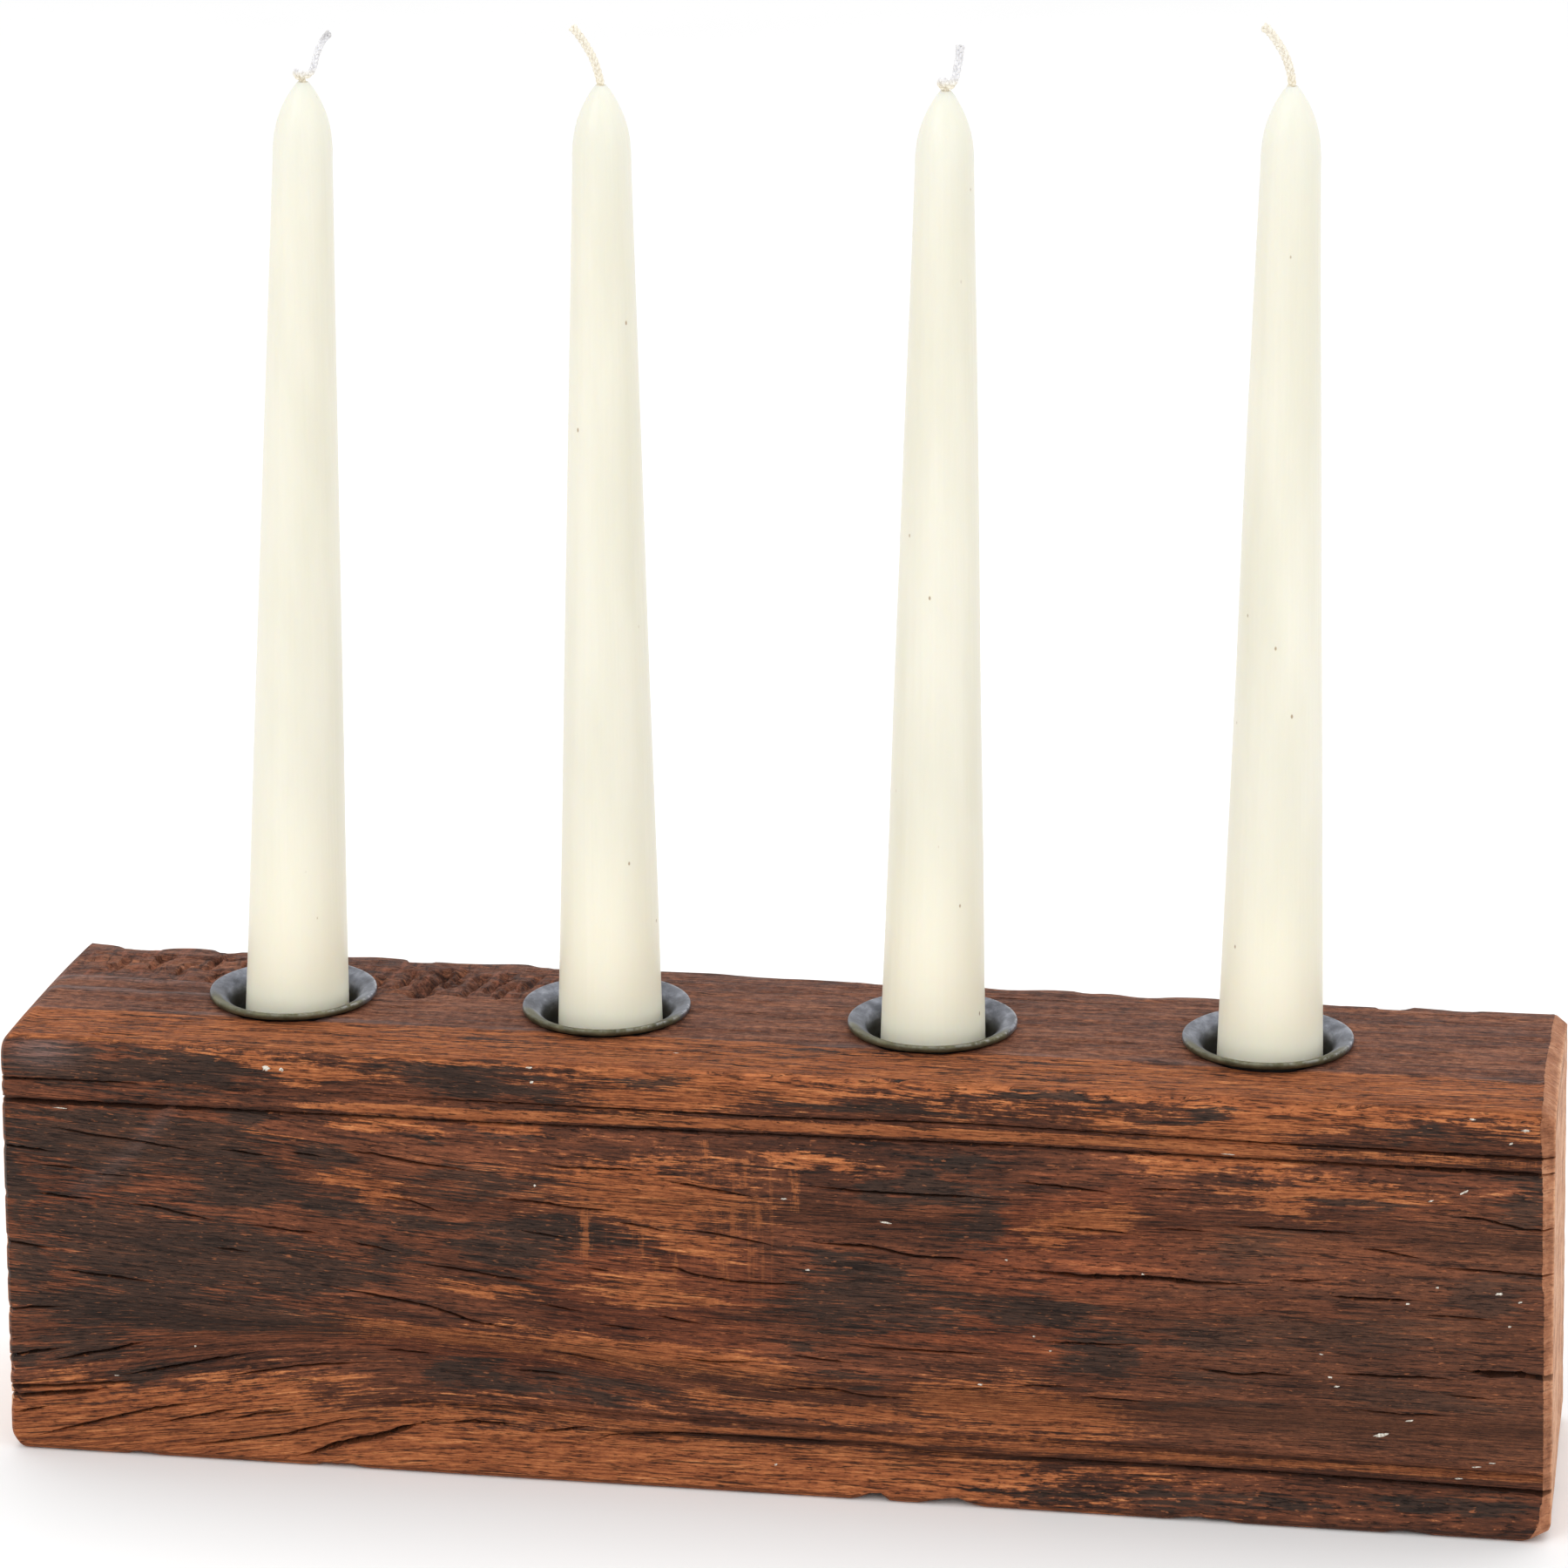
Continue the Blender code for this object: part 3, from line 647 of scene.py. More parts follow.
def blotches(x, z, patches):
    """Strength from 0 to 1 of the nearest of the soft ellipses."""
    strength = np.zeros_like(x)
    x = x + 5.0 * layered_noise(x / 13.0, z / 4.0, 111)
    z = z + 1.6 * layered_noise(x / 11.0, z / 3.5, 117)
    for centre_x, centre_z, half_length, half_height in patches:
        tilt = grain_slope(float(centre_x), float(centre_z))
        across = (z - centre_z - tilt * (x - centre_x)) / half_height
        along = (x - centre_x) / half_length
        strength = np.maximum(strength, np.exp(-0.5 * (along * along + across * across)))
    return strength


def stains(x, z):
    """Strength from 0 to 1 of the dirt along the splits of the front face; it fades at their ends."""
    strength = np.zeros_like(x)
    for width, *points in CRACKS:
        reach, weight = 0.30 + 0.85 * width, min(1.0, 0.30 + 1.5 * width)
        first, last = points[0][0], points[-1][0]
        fade = 0.3 * (last - first)
        for (x_from, z_from), (x_to, z_to) in zip(points, points[1:]):
            low, high = min(z_from, z_to) - 2, max(z_from, z_to) + 2
            near = (x > x_from - 1) & (x < x_to + 1) & (z > low) & (z < high)
            x_near, z_near = x[near], z[near]
            run, climb = x_to - x_from, z_to - z_from
            share = ((x_near - x_from) * run + (z_near - z_from) * climb) / (run * run + climb * climb)
            share = np.clip(share, 0.0, 1.0)
            away = np.hypot(x_near - x_from - share * run, z_near - z_from - share * climb)
            start = 1.0 if first < -HALF_LENGTH else ease(x_near, first, first + fade)
            end = 1.0 if last > HALF_LENGTH else ease(x_near, last, last - fade)
            strength[near] = np.maximum(strength[near], weight * start * end * bell(away, 0.0, reach))
    return strength


def store_masks(mesh, places):
    """Writes the numbers that the wood's material reads at each vertex."""
    x, y, z = places.T
    front = ease(-y, HALF_DEPTH - 3.6, HALF_DEPTH - 2.2) * (z < HEIGHT - 1.2)
    top = ease(z, HEIGHT - 6.0, HEIGHT - 2.5) * (1.0 - front)
    back = ease(y, HALF_DEPTH - 3.0, HALF_DEPTH - 1.0) * (1.0 - top)
    other = np.clip(1.0 - front - top, 0.0, 1.0)
    top_bare = ease(y, CROWN_FRONT + 1.0, CROWN_FRONT - 2.0)

    from_end, strip = end_limit(y, z) - np.abs(x), chamfer_width(x, z)
    sawn = ease(from_end, 0.5, 0.2)
    fresh_left = sawn * (0.55 + 0.45 * ease(HEIGHT - z, 0.8, 2.0))
    around = np.where(top > 0.5, HEIGHT + HALF_DEPTH + y, 300.0 - z)
    around = np.where(z < 1.0, 400.0 + y, np.where(front > 0.5, grain_level(x, z), around))
    store(mesh, "sawn", sawn)
    store(mesh, "fresh", np.where(x > 0, ease(from_end, strip + 0.6, strip - 0.1), fresh_left))
    store(mesh, "grain", np.stack([x, around, y * 0.15], 1))

    low_band = ease(z, 14.0, 10.0) * (0.25 + 0.75 * ease(x, 115.0, 20.0))
    bead = bell(z - polyline(x, GROOVES[1][0]), 1.8, 1.3, 4) * ease(x, -120.0, -70.0)
    bead = bead * (0.5 + 0.5 * ease(x, 110.0, 40.0))
    between = 0.85 * bell(z, 14.8, 1.0) * ease(x, -110.0, -60.0)
    upper = 0.55 * ease(z, 87.0, 90.0) * ease(x, -100.0, -70.0)
    bare = np.maximum.reduce([blotches(x, z, BARE_PATCHES), 1.05 * low_band, 1.2 * bead, between, upper])
    dark = blotches(x, z, DARK_PATCHES) * (1.0 - 0.5 * low_band)
    dark = dark + 0.20 * ease(x, -70.0, -130.0) * ease(z, 28.0, 36.0)
    back_bare = 0.75 * ease(layered_noise(x / 46.0, z / 10.0, 121), 0.25, 0.75) + 0.8 * ease(z, 9.0, 3.0)
    back_dark = 0.15 + 0.75 * ease(layered_noise(x / 38.0, z / 12.0, 127), 0.15, 0.7)
    edge_wear = bell(z, HEIGHT - 1.0, 1.6) * ease(-y, HALF_DEPTH - 5.0, HALF_DEPTH - 1.0)
    bare = front * bare * (1 - 0.75 * dark) + top * 0.72 * top_bare + 0.3 * edge_wear + back * back_bare
    dark = front * dark + top * (0.30 - 0.2 * top_bare) + other * (back * back_dark + 0.4 * (1.0 - back))
    dull = ease(x, 70.0, 105.0) * ease(z, 80.0, 66.0) * ease(z, 12.0, 22.0)
    store(mesh, "bare", bare)
    store(mesh, "dark", dark)
    store(mesh, "red", front * blotches(x, z, RED_PATCHES))
    store(mesh, "stain", front * stains(x, z))
    store(mesh, "dull", front * dull * (0.75 + 0.25 * layered_noise(x / 16.0, z / 6.0, 131)))
    store(mesh, "upper", top * (1.0 - top_bare))

    rubbed = 1.15 * bead
    for mark_x, z_from, z_to, half_width in RUBBED_MARKS:
        inside = ease(z, z_from - 2.0, z_from + 1.0) * ease(z, z_to + 2.0, z_to - 1.0)
        wavy_x = x + 0.5 * noise(z / 4.0, mark_x, 97)
        rubbed = np.maximum(rubbed, inside * bell(wavy_x, mark_x, half_width + 0.6))
    scraped = ease(x, -46.0, -30.0) * ease(x, 12.0, -2.0) * ease(z, 42.0, 50.0) * ease(z, 80.0, 76.0)
    store(mesh, "rubbed", front * rubbed)
    store(mesh, "scraped", front * scraped)

    # painted sheen: pale highlight bands on the top's ridges and near the front's upper left corner
    sheen_band_z = 62.0 + 20.0 * np.clip((x + 150.0) / 22.0, 0.0, 1.0) ** 1.3
    sheen_band = bell(z, sheen_band_z, 2.4) * ease(x, -154.0, -148.0) * ease(x, -125.0, -130.0)
    corner = bell(x, -157.0, 7.0) * bell(z, 93.0, 3.0)
    ridge = bell(y + 0.5 * noise(x / 20.0, 0.0, 101), CROWN_FRONT - 0.3, 0.7)
    ridge *= 0.45 + 0.45 * noise(x / 14.0, 5.0, 103)
    for ridge_y, _, width in TOP_RIDGES:
        ridge = np.maximum(ridge, ease(x, -116.0, -128.0) * 0.8 * bell(y, ridge_y, width))
    # painted shade: darker with the depth of the grooves and adze marks
    hollow_shade = front * cuts_in_front(x, z) / 0.9 + top * cuts_in_top(x, y) / 2.4
    hewn = ease(y, -1.0, 7.0) * ease(x, -40.0, -60.0) * (0.35 + 0.65 * ease(abs(x + 110.0), 6.0, 14.0))
    store(mesh, "sheen", np.clip(top * ridge + front * (0.8 * corner + 0.20 * sheen_band), 0.0, 1.0))
    store(mesh, "hollow_shade", np.clip(hollow_shade, 0.0, 1.0))
    store(mesh, "hewn", top * np.maximum(hewn, 0.16))


# Where each side of the block lies on its unwrapped map, in mm: u axis, v axis, scale, u offset, v offset.
MAP_SIDES = {
    "front": (0, 2, 1.00, 170, 2),
    "top": (0, 1, 1.00, 170, 137),
    "back": (0, 2, 0.78, 133, 175),
    "bottom": (0, 1, 0.50, 86, 272),
    "left": (1, 2, 0.70, 296, 175),
    "right": (1, 2, 0.70, 200, 256),
}
MAP_SIZE = 342.0


def unwrap_block(mesh, places):
    """Lays each side flat on the map named OFBake, with the front and top largest."""
    x, y, z = read(mesh.polygons, "center").T
    out_x, out_y, out_z = read(mesh.polygons, "normal").T
    end = HALF_LENGTH - 1
    distance = np.stack([y + HALF_DEPTH, HEIGHT - z, HALF_DEPTH - y, z, x + end, end - x], 1)
    facing = np.stack([-out_y, out_z, out_y, -out_z, -out_x, out_x], 1)
    side_of_face = np.argmin(distance + 3.0 * (1.0 - facing), 1)
    side_of_loop = np.repeat(side_of_face, read(mesh.polygons, "loop_total", np.int32))
    corner = places[read(mesh.loops, "vertex_index", np.int32)]
    uv = np.zeros((len(corner), 2))
    for index, (u_axis, v_axis, scale, u_offset, v_offset) in enumerate(MAP_SIDES.values()):
        chosen = side_of_loop == index
        uv[chosen] = corner[chosen][:, (u_axis, v_axis)] * scale + (u_offset, v_offset)
    layer = mesh.uv_layers.new(name="OFBake")
    layer.data.foreach_set("uv", (uv / MAP_SIZE).astype(np.float32).ravel())


# ---------------------------------------------------------------- material tools

def shown(red, green, blue):
    """A colour as a screen shows it, 0 to 255, as the linear numbers that a shader takes."""
    parts = [((c / 255 + 0.055) / 1.055) ** 2.4 if c > 10 else c / 3294.6 for c in (red, green, blue)]
    return (*parts, 1.0)


class Shader:
    """Short calls that build one material's node tree. Colours are triples as a screen shows them."""

    def __init__(self, name):
        self.material = bpy.data.materials.new(name)
        self.material.use_nodes = True
        self.tree = self.material.node_tree
        self.tree.nodes.clear()
        self.surface = self.node("ShaderNodeBsdfPrincipled")
        output = self.node("ShaderNodeOutputMaterial")
        self.tree.links.new(self.surface.outputs["BSDF"], output.inputs["Surface"])

    def node(self, kind, inputs=None, **settings):
        made = self.tree.nodes.new(kind)
        for key, value in settings.items():
            setattr(made, key, value)
        for key, value in (inputs or {}).items():
            self.plug(made.inputs[key], value)
        return made

    def plug(self, socket, value):
        if isinstance(value, bpy.types.NodeSocket):
            self.tree.links.new(value, socket)
        else:
            socket.default_value = value

    def finish(self, **values):
        """Sets inputs of the surface, with underscores for spaces, and gives the material."""
        for key, value in values.items():
            self.plug(self.surface.inputs[key.replace("_", " ")], value)
        return self.material

    def number(self, name, output="Fac"):
        """What store() kept under the name: a number, or a vector from the output Vector."""
        return self.node("ShaderNodeAttribute", attribute_name=name).outputs[output]

    def place(self):
        """The place on the piece, in mm."""
        coordinates = self.node("ShaderNodeTexCoord").outputs["Object"]
        return self.scaled(coordinates, (1 / MM, 1 / MM, 1 / MM))

    def scaled(self, vector, scale, offset=(0, 0, 0)):
        inputs = {"Vector": vector, "Scale": scale, "Location": offset}
        return self.node("ShaderNodeMapping", inputs).outputs["Vector"]

    def noise(self, vector, scale, detail=4.0, roughness=0.55, distortion=0.0, offset=(0, 0, 0)):
        inputs = {"Vector": self.scaled(vector, scale, offset), "Scale": 1.0, "Detail": detail,
                  "Roughness": roughness, "Distortion": distortion}
        return self.node("ShaderNodeTexNoise", inputs).outputs["Fac"]

    def spots(self, vector, scale):
        """Distance to the nearest of many scattered points."""
        inputs = {"Vector": self.scaled(vector, scale), "Scale": 1.0}
        return self.node("ShaderNodeTexVoronoi", inputs).outputs["Distance"]

    def level(self, value, low, high, to_low=0.0, to_high=1.0):
        inputs = {"Value": value, "From Min": low, "From Max": high, "To Min": to_low, "To Max": to_high}
        return self.node("ShaderNodeMapRange", inputs, interpolation_type="SMOOTHSTEP").outputs["Result"]

    def calc(self, operation, a, b=0.0, c=0.0):
        return self.node("ShaderNodeMath", {0: a, 1: b, 2: c}, operation=operation).outputs[0]

    def times(self, a, b):
        return self.calc("MULTIPLY", a, b)

    def total(self, *parts, start=0.0):
        """Sum of (value, weight) parts."""
        result = start
        for value, weight in parts:
            result = self.calc("MULTIPLY_ADD", value, weight, result)
        return result

    def blend(self, *parts):
        """Mixture of (noise, weight) parts that stays centred on 0.5, as each noise is."""
        return self.total(*parts, start=0.5 - 0.5 * sum(weight for _, weight in parts))

    def ramp(self, fac, *stops):
        """Colours from stops (place, red, green, blue)."""
        made = self.node("ShaderNodeValToRGB", {"Fac": fac})
        elements = made.color_ramp.elements
        while len(elements) < len(stops):
            elements.new(0.5)
        for element, (place, *colour) in zip(elements, stops):
            element.position, element.color = place, shown(*colour)
        return made.outputs["Color"]

    def over(self, base, cover, share, weight=None):
        """The base covered by another colour; share says where, and weight how much of it."""
        share = share if weight is None else self.times(share, weight)
        cover = shown(*cover) if isinstance(cover, tuple) else cover
        return self.node("ShaderNodeMix", {0: share, 6: base, 7: cover}, data_type="RGBA").outputs[2]

    def bump(self, height, distance, strength=1.0):
        """Raises the surface by height times distance, in metres."""
        inputs = {"Height": height, "Distance": distance, "Strength": strength}
        return self.node("ShaderNodeBump", inputs).outputs["Normal"]


# ---------------------------------------------------------------- materials

def weathered_wood():
    """Old reddish hardwood: streaky grain, dark patina, worn bare patches and pale sanded ends."""
    s = Shader("weathered_wood")
    grain, place = s.number("grain", "Vector"), s.place()
    fibre = s.noise(grain, (0.10, 3.0, 1.0), 6.0, 0.70)
    streak = s.noise(grain, (0.055, 0.95, 1.0), 7.0, 0.72, 0.15, (3, 7, 0))
    broad = s.noise(grain, (0.022, 0.11, 1.0), 5.0, 0.60, 0.0, (11, 2, 0))
    dash = s.noise(grain, (0.36, 3.8, 1.0), 4.0, 0.65, 0.0, (5, 3, 0))
    crumble = s.noise(place, (0.5, 0.8, 0.9), 6.0, 0.72)

    # The plain wood, redder in places.
    tone = s.blend((streak, 1.4), (fibre, 1.3), (broad, 0.9), (dash, 0.5), (crumble, 0.5))
    colour = s.ramp(tone, (.08, 48, 28, 20), (.32, 78, 45, 31), (.52, 103, 59, 39), (.74, 134, 77, 51),
                    (.95, 172, 104, 68))
    red = s.ramp(tone, (.08, 54, 26, 18), (.40, 98, 50, 31), (.60, 126, 67, 41), (.92, 174, 96, 58))
    reddened = s.level(s.blend((s.number("red"), 1.0), (streak, 1.2), (broad, 1.2)), 0.30, 0.75)
    colour = s.over(colour, red, reddened, 0.75)

    # Bare worn wood, and dark patina over both.
    bare_tone = s.blend((fibre, 1.5), (streak, 1.3), (dash, 0.5), (crumble, 0.6))
    bare_colour = s.ramp(bare_tone, (.06, 60, 30, 18), (.28, 120, 64, 37), (.52, 165, 95, 56),
                         (.76, 200, 123, 74), (.95, 230, 158, 104))
    bare = s.blend((s.number("bare"), 1.0), (streak, 1.7), (fibre, 1.3), (broad, 0.8), (crumble, 0.9),
                   (dash, 0.6))
    bare = s.level(bare, 0.46, 0.68)
    colour = s.over(colour, bare_colour, bare)
    dark_tone = s.blend((fibre, 1.6), (broad, 1.0), (dash, 1.0))
    dark_colour = s.ramp(dark_tone, (.10, 34, 26, 21), (.40, 54, 41, 34), (.65, 70, 51, 41),
                         (.92, 104, 68, 50))
    dark = s.blend((s.number("dark"), 1.0), (streak, -2.0), (fibre, -1.5), (broad, -1.0), (crumble, 0.7),
                   (dash, -0.5))
    dark = s.level(dark, 0.40, 0.66)
    colour = s.over(colour, dark_colour, dark, 0.88)

    # The duller right of the front, and the top.
    dull_tone = s.blend((streak, 0.8), (fibre, 0.7), (crumble, 0.9), (broad, 0.8))
    dull_colour = s.ramp(dull_tone, (.10, 66, 40, 30), (.50, 108, 69, 50), (.90, 150, 98, 68))
    colour = s.over(colour, dull_colour, s.number("dull"), 0.62)
    top_tone = s.blend((streak, 0.9), (fibre, 1.0), (crumble, 1.6), (broad, 1.0))
    top_colour = s.ramp(top_tone, (.08, 62, 32, 24), (.45, 119, 71, 51), (.90, 184, 124, 92))
    colour = s.over(colour, top_colour, s.number("upper"), 0.75)

    # Rubbed and scraped marks across the grain.
    scrape = s.level(s.noise(place, (0.75, 0.05, 0.03), 4.0, 0.65), 0.54, 0.68)
    scrape = s.times(s.times(scrape, s.number("scraped")), 0.45)
    stroke = s.noise(place, (1.5, 0.2, 0.28), 5.0, 0.65)
    stroke = s.blend((s.number("rubbed"), 0.9), (stroke, 1.6), (fibre, 1.4), (dash, 0.9), (streak, 0.6))
    rubbed = s.calc("MAXIMUM", scrape, s.times(s.level(stroke, 0.44, 0.80), 0.8))
    rubbed_colour = s.ramp(bare_tone, (.1, 122, 66, 38), (.5, 158, 92, 54), (.9, 196, 124, 76))
    colour = s.over(colour, rubbed_colour, rubbed)

    # Hairline checks, pores and dark threads along the grain, and dirt along the splits.
    hair = s.noise(grain, (0.022, 0.62, 1.0), 4.0, 0.55, 0.2, (1, 9, 0))
    hairline = s.level(s.calc("ABSOLUTE", s.calc("SUBTRACT", hair, 0.5)), 0.012, 0.002)
    hairline = s.times(hairline, s.level(s.noise(grain, (0.06, 0.5, 1.0), 3.0), 0.47, 0.56))
    thread = s.noise(grain, (0.075, 1.9, 1.0), 4.0, 0.60, 0.1, (8, 2, 0))
    lines = s.calc("MAXIMUM", s.times(hairline, 0.85), s.times(s.level(dash, 0.41, 0.33), 0.70))
    lines = s.calc("MAXIMUM", lines, s.times(s.level(thread, 0.395, 0.345), 0.80))
    colour = s.over(colour, (30, 19, 16), lines)
    stain = s.blend((s.number("stain"), 1.1), (fibre, 1.6), (dash, 1.0), (crumble, 0.8))
    colour = s.over(colour, (40, 24, 18), s.level(stain, 0.42, 0.95), 0.80)

    # Pale flecks and threads, painted shade in the grooves and adze marks, a painted sheen on the high
    # places, and painted shade and highlight across the hewn marks.
    fleck = s.noise(grain, (0.42, 2.4, 1.0), 3.0, 0.5, 0.0, (21, 5, 0))
    colour = s.over(colour, (188, 114, 72), s.level(fleck, 0.64, 0.72), 0.6)
    colour = s.over(colour, (160, 94, 58), s.level(thread, 0.63, 0.69), 0.35)
    # painted shade in the grooves and adze marks
    colour = s.over(colour, (44, 26, 18), s.number("hollow_shade"), 0.40)
    sheen_streaks = s.level(s.blend((fibre, 1.6), (streak, 1.2)), 0.15, 0.75, 0.25, 0.75)
    # painted sheen: a pale highlight over the ridges, streaked along the grain
    colour = s.over(colour, (146, 126, 122), s.number("sheen"), sheen_streaks)
    hew, hewn = s.noise(place, (0.62, 0.15, 0.1), 6.0, 0.62, 0.5), s.number("hewn")
    # painted shade in the low parts of the hewn marks and painted highlight on their high parts, following
    # their bump
    colour = s.over(colour, (54, 29, 22), hewn, s.level(hew, 0.44, 0.37, 0.0, 0.65))
    colour = s.over(colour, (160, 98, 74), hewn, s.level(hew, 0.53, 0.66, 0.0, 0.6))

    # Pale sawn ends with faint rings, pores and grime.
    rings = s.node("ShaderNodeTexWave", {
        "Vector": s.scaled(place, (0.0, 0.7, 0.8), (0, 14, 24)), "Scale": 0.07, "Distortion": 6.0,
        "Detail": 4.0, "Detail Scale": 0.35}, wave_type="RINGS", rings_direction="X").outputs["Fac"]
    cloud = s.noise(place, (0.3, 0.10, 0.10), 5.0)
    end_tone = s.blend((rings, 0.11), (cloud, 1.5), (s.noise(place, (0.3, 0.9, 0.9), 5.0, 0.65), 1.2))
    end_colour = s.ramp(end_tone, (.10, 128, 78, 52), (.50, 164, 108, 76), (.90, 190, 136, 102))
    cut_colour = s.ramp(end_tone, (.05, 166, 108, 74), (.50, 218, 163, 125), (.95, 240, 196, 160))
    end_colour = s.over(end_colour, cut_colour, s.number("sawn"), 0.75)
    pore = s.level(s.spots(place, (0.4, 1.7, 1.7)), 0.26, 0.10, 0.0, 0.6)
    end_colour = s.over(end_colour, (118, 70, 48), pore)
    grime = s.level(s.noise(place, (0.12, 0.25, 0.25), 5.0, 0.65), 0.56, 0.72)
    end_colour = s.over(end_colour, (122, 80, 60), grime, 0.40)
    fresh = s.level(s.blend((s.number("fresh"), 1.0), (crumble, 0.7), (dash, 0.5)), 0.48, 0.58)
    colour = s.over(colour, end_colour, fresh)

    height = s.total((fibre, 1.0), (streak, 1.0), (dash, 0.7), (lines, -0.9), (crumble, 0.25))
    height = s.calc("ADD", height, s.times(s.times(hew, hewn), 2.6))
    height = s.times(height, s.level(fresh, 0.0, 1.0, 1.0, 0.35))
    roughness = s.calc("ADD", s.blend((fibre, 0.5), (bare, 0.10), (dark, -0.06)), 0.12)
    roughness = s.calc("SUBTRACT", roughness, s.times(s.number("sheen"), 0.12))
    return s.finish(Base_Color=colour, Roughness=roughness, Specular_IOR_Level=0.20,
                    Normal=s.bump(height, 0.00050, 0.95))


def split_wood():
    """The inside of a split, coloured near black as painted shade."""
    s = Shader("split_wood")
    fibre = s.noise(s.place(), (0.1, 1.2, 1.6), 4.0, 0.6)
    # painted shade: the split's walls are coloured near black
    colour = s.ramp(fibre, (.35, 17, 11, 9), (.65, 40, 25, 20))
    return s.finish(Base_Color=colour, Roughness=0.9, Specular_IOR_Level=0.1, Normal=s.bump(fibre, 0.0003))


def old_whitewash():
    """Chalky specks of old paint."""
    s = Shader("old_whitewash")
    grit = s.noise(s.place(), (2.2, 2.2, 2.2), 4.0, 0.6)
    colour = s.ramp(grit, (.35, 150, 138, 124), (.55, 214, 208, 196), (.75, 238, 236, 228))
    return s.finish(Base_Color=colour, Roughness=0.85, Specular_IOR_Level=0.25, Normal=s.bump(grit, 0.0002))


def blackened_steel():
    """Dark oxidised sheet steel: blue-grey mottling, bronze tint low on the lip, and bright worn edges with
    a painted highlight that is stronger on one side of the rim.
    """
    s = Shader("blackened_steel")
    place = s.place()
    mottle = s.noise(place, (0.22, 0.22, 0.5), 5.0, 0.6)
    grit = s.noise(place, (2.6, 2.6, 2.6), 3.0, 0.6)
    blue = s.ramp(mottle, (.34, 82, 84, 91), (.52, 116, 119, 128), (.68, 152, 155, 164))
    bronze = s.ramp(mottle, (.35, 78, 76, 56), (.65, 116, 113, 88))
    tint = s.level(s.total((s.number("lip"), 0.9), (mottle, 0.5)), 0.62, 1.0)
    colour = s.over(s.over(blue, bronze, tint), (66, 62, 50), s.number("mouth"), 0.75)
    # worn bright edge specks plus a painted highlight along the rim
    lit_worn_edge = s.times(s.number("rim_wear_and_highlight"), s.level(s.noise(place, (0.7, 0.7, 0.7), 4.0, 0.7), 0.42, 0.58))
    colour = s.over(colour, (196, 197, 200), lit_worn_edge, 0.85)
    colour = s.over(colour, (168, 168, 166), s.level(grit, 0.66, 0.74), 0.35)
    roughness = s.calc("ADD", s.total((mottle, 0.25), (lit_worn_edge, -0.12), (tint, 0.06)), 0.30)
    return s.finish(Base_Color=colour, Roughness=roughness, Metallic=0.72,
                    Normal=s.bump(s.total((grit, 0.6), (mottle, 0.6)), 0.00006))


def ivory_wax():
    """Dipped ivory wax: faintly translucent, soft shine, small dark inclusions, and painted light that
    brightens it towards its foot.
    """
    s = Shader("ivory_wax")
    place = s.place()
    cloud = s.noise(place, (0.10, 0.10, 0.018), 3.0, 0.5)
    drips = s.noise(place, (0.34, 0.34, 0.008), 2.0, 0.5)
    colour = s.ramp(cloud, (.35, 223, 220, 203), (.65, 230, 227, 212))
    # painted light: brighter towards the foot
    colour = s.over(colour, (246, 242, 221), s.number("foot"))
    colour = s.over(colour, (228, 229, 218), s.number("tip"), 0.5)
    dot = s.level(s.spots(place, (0.18, 0.18, 0.10)), 0.062, 0.030)
    dot = s.times(dot, s.level(s.noise(place, (0.05, 0.05, 0.03), 1.0), 0.46, 0.52))
    colour = s.over(colour, (150, 120, 84), dot, 0.75)
    grain = s.noise(place, (1.4, 1.4, 0.9), 2.0)
    height = s.total((drips, 0.7), (grain, 0.06), (cloud, 0.25), (dot, -0.15))
    roughness = s.level(cloud, 0.3, 0.7, 0.30, 0.42)
    return s.finish(Base_Color=colour, Roughness=roughness, Specular_IOR_Level=0.42, IOR=1.44,
                    Subsurface_Weight=0.30, Subsurface_Radius=(1.0, 0.75, 0.42), Subsurface_Scale=0.004,
                    Normal=s.bump(height, 0.0004, 0.7))


def wick_cotton():
    """Waxed cotton yarn, whiter at its cut end."""
    s = Shader("wick_cotton")
    fibre = s.noise(s.place(), (2.5, 2.5, 0.9), 4.0, 0.65)
    cream = s.ramp(fibre, (.35, 218, 206, 182), (.55, 238, 230, 210), (.75, 248, 244, 232))
    white = s.ramp(fibre, (.35, 204, 204, 208), (.55, 232, 232, 236), (.75, 248, 248, 250))
    colour = s.over(cream, white, s.number("bleached"))
    colour = s.over(colour, (92, 84, 78), s.number("charred"), 0.7)
    return s.finish(Base_Color=colour, Roughness=0.72, Specular_IOR_Level=0.35, Subsurface_Weight=0.15,
                    Subsurface_Radius=(1.0, 0.9, 0.7), Subsurface_Scale=0.0008,
                    Normal=s.bump(fibre, 0.00012))


def screw_steel():
    """Zinc-plated screw with faint turning marks and tarnish."""
    s = Shader("screw_steel")
    place = s.place()
    tarnish = s.noise(place, (0.9, 0.9, 0.9), 4.0, 0.65)
    colour = s.ramp(tarnish, (.35, 112, 108, 98), (.60, 176, 174, 166))
    return s.finish(Base_Color=colour, Metallic=0.9, Roughness=s.level(tarnish, 0.3, 0.7, 0.28, 0.5),
                    Normal=s.bump(s.noise(place, (0.6, 0.6, 9.0), 2.0), 0.00005))


def pale_floor():
    s = Shader("pale_floor")
    cloud = s.noise(s.place(), (0.004, 0.004, 0.004), 2.0)
    colour = s.ramp(cloud, (.3, 246.98, 246.98, 246.98), (.7, 249.31, 249.31, 249.31))
    return s.finish(Base_Color=colour, Roughness=0.9, Specular_IOR_Level=0.1)


# ---------------------------------------------------------------- pieces

def build_block():
    wood, inside = weathered_wood(), split_wood()
    mesh = cut_block(wood, inside)
    mesh.name = "beam"
    mesh.materials.clear()
    places = read(mesh.vertices, "co").astype(float)
    store_masks(mesh, places)
    unwrap_block(mesh, places)
    shade(mesh, 38.0)
    mesh.transform(Matrix.Scale(MM, 4))
    return add_piece("beam", mesh, (wood, inside), "holder", ["wood_block"])


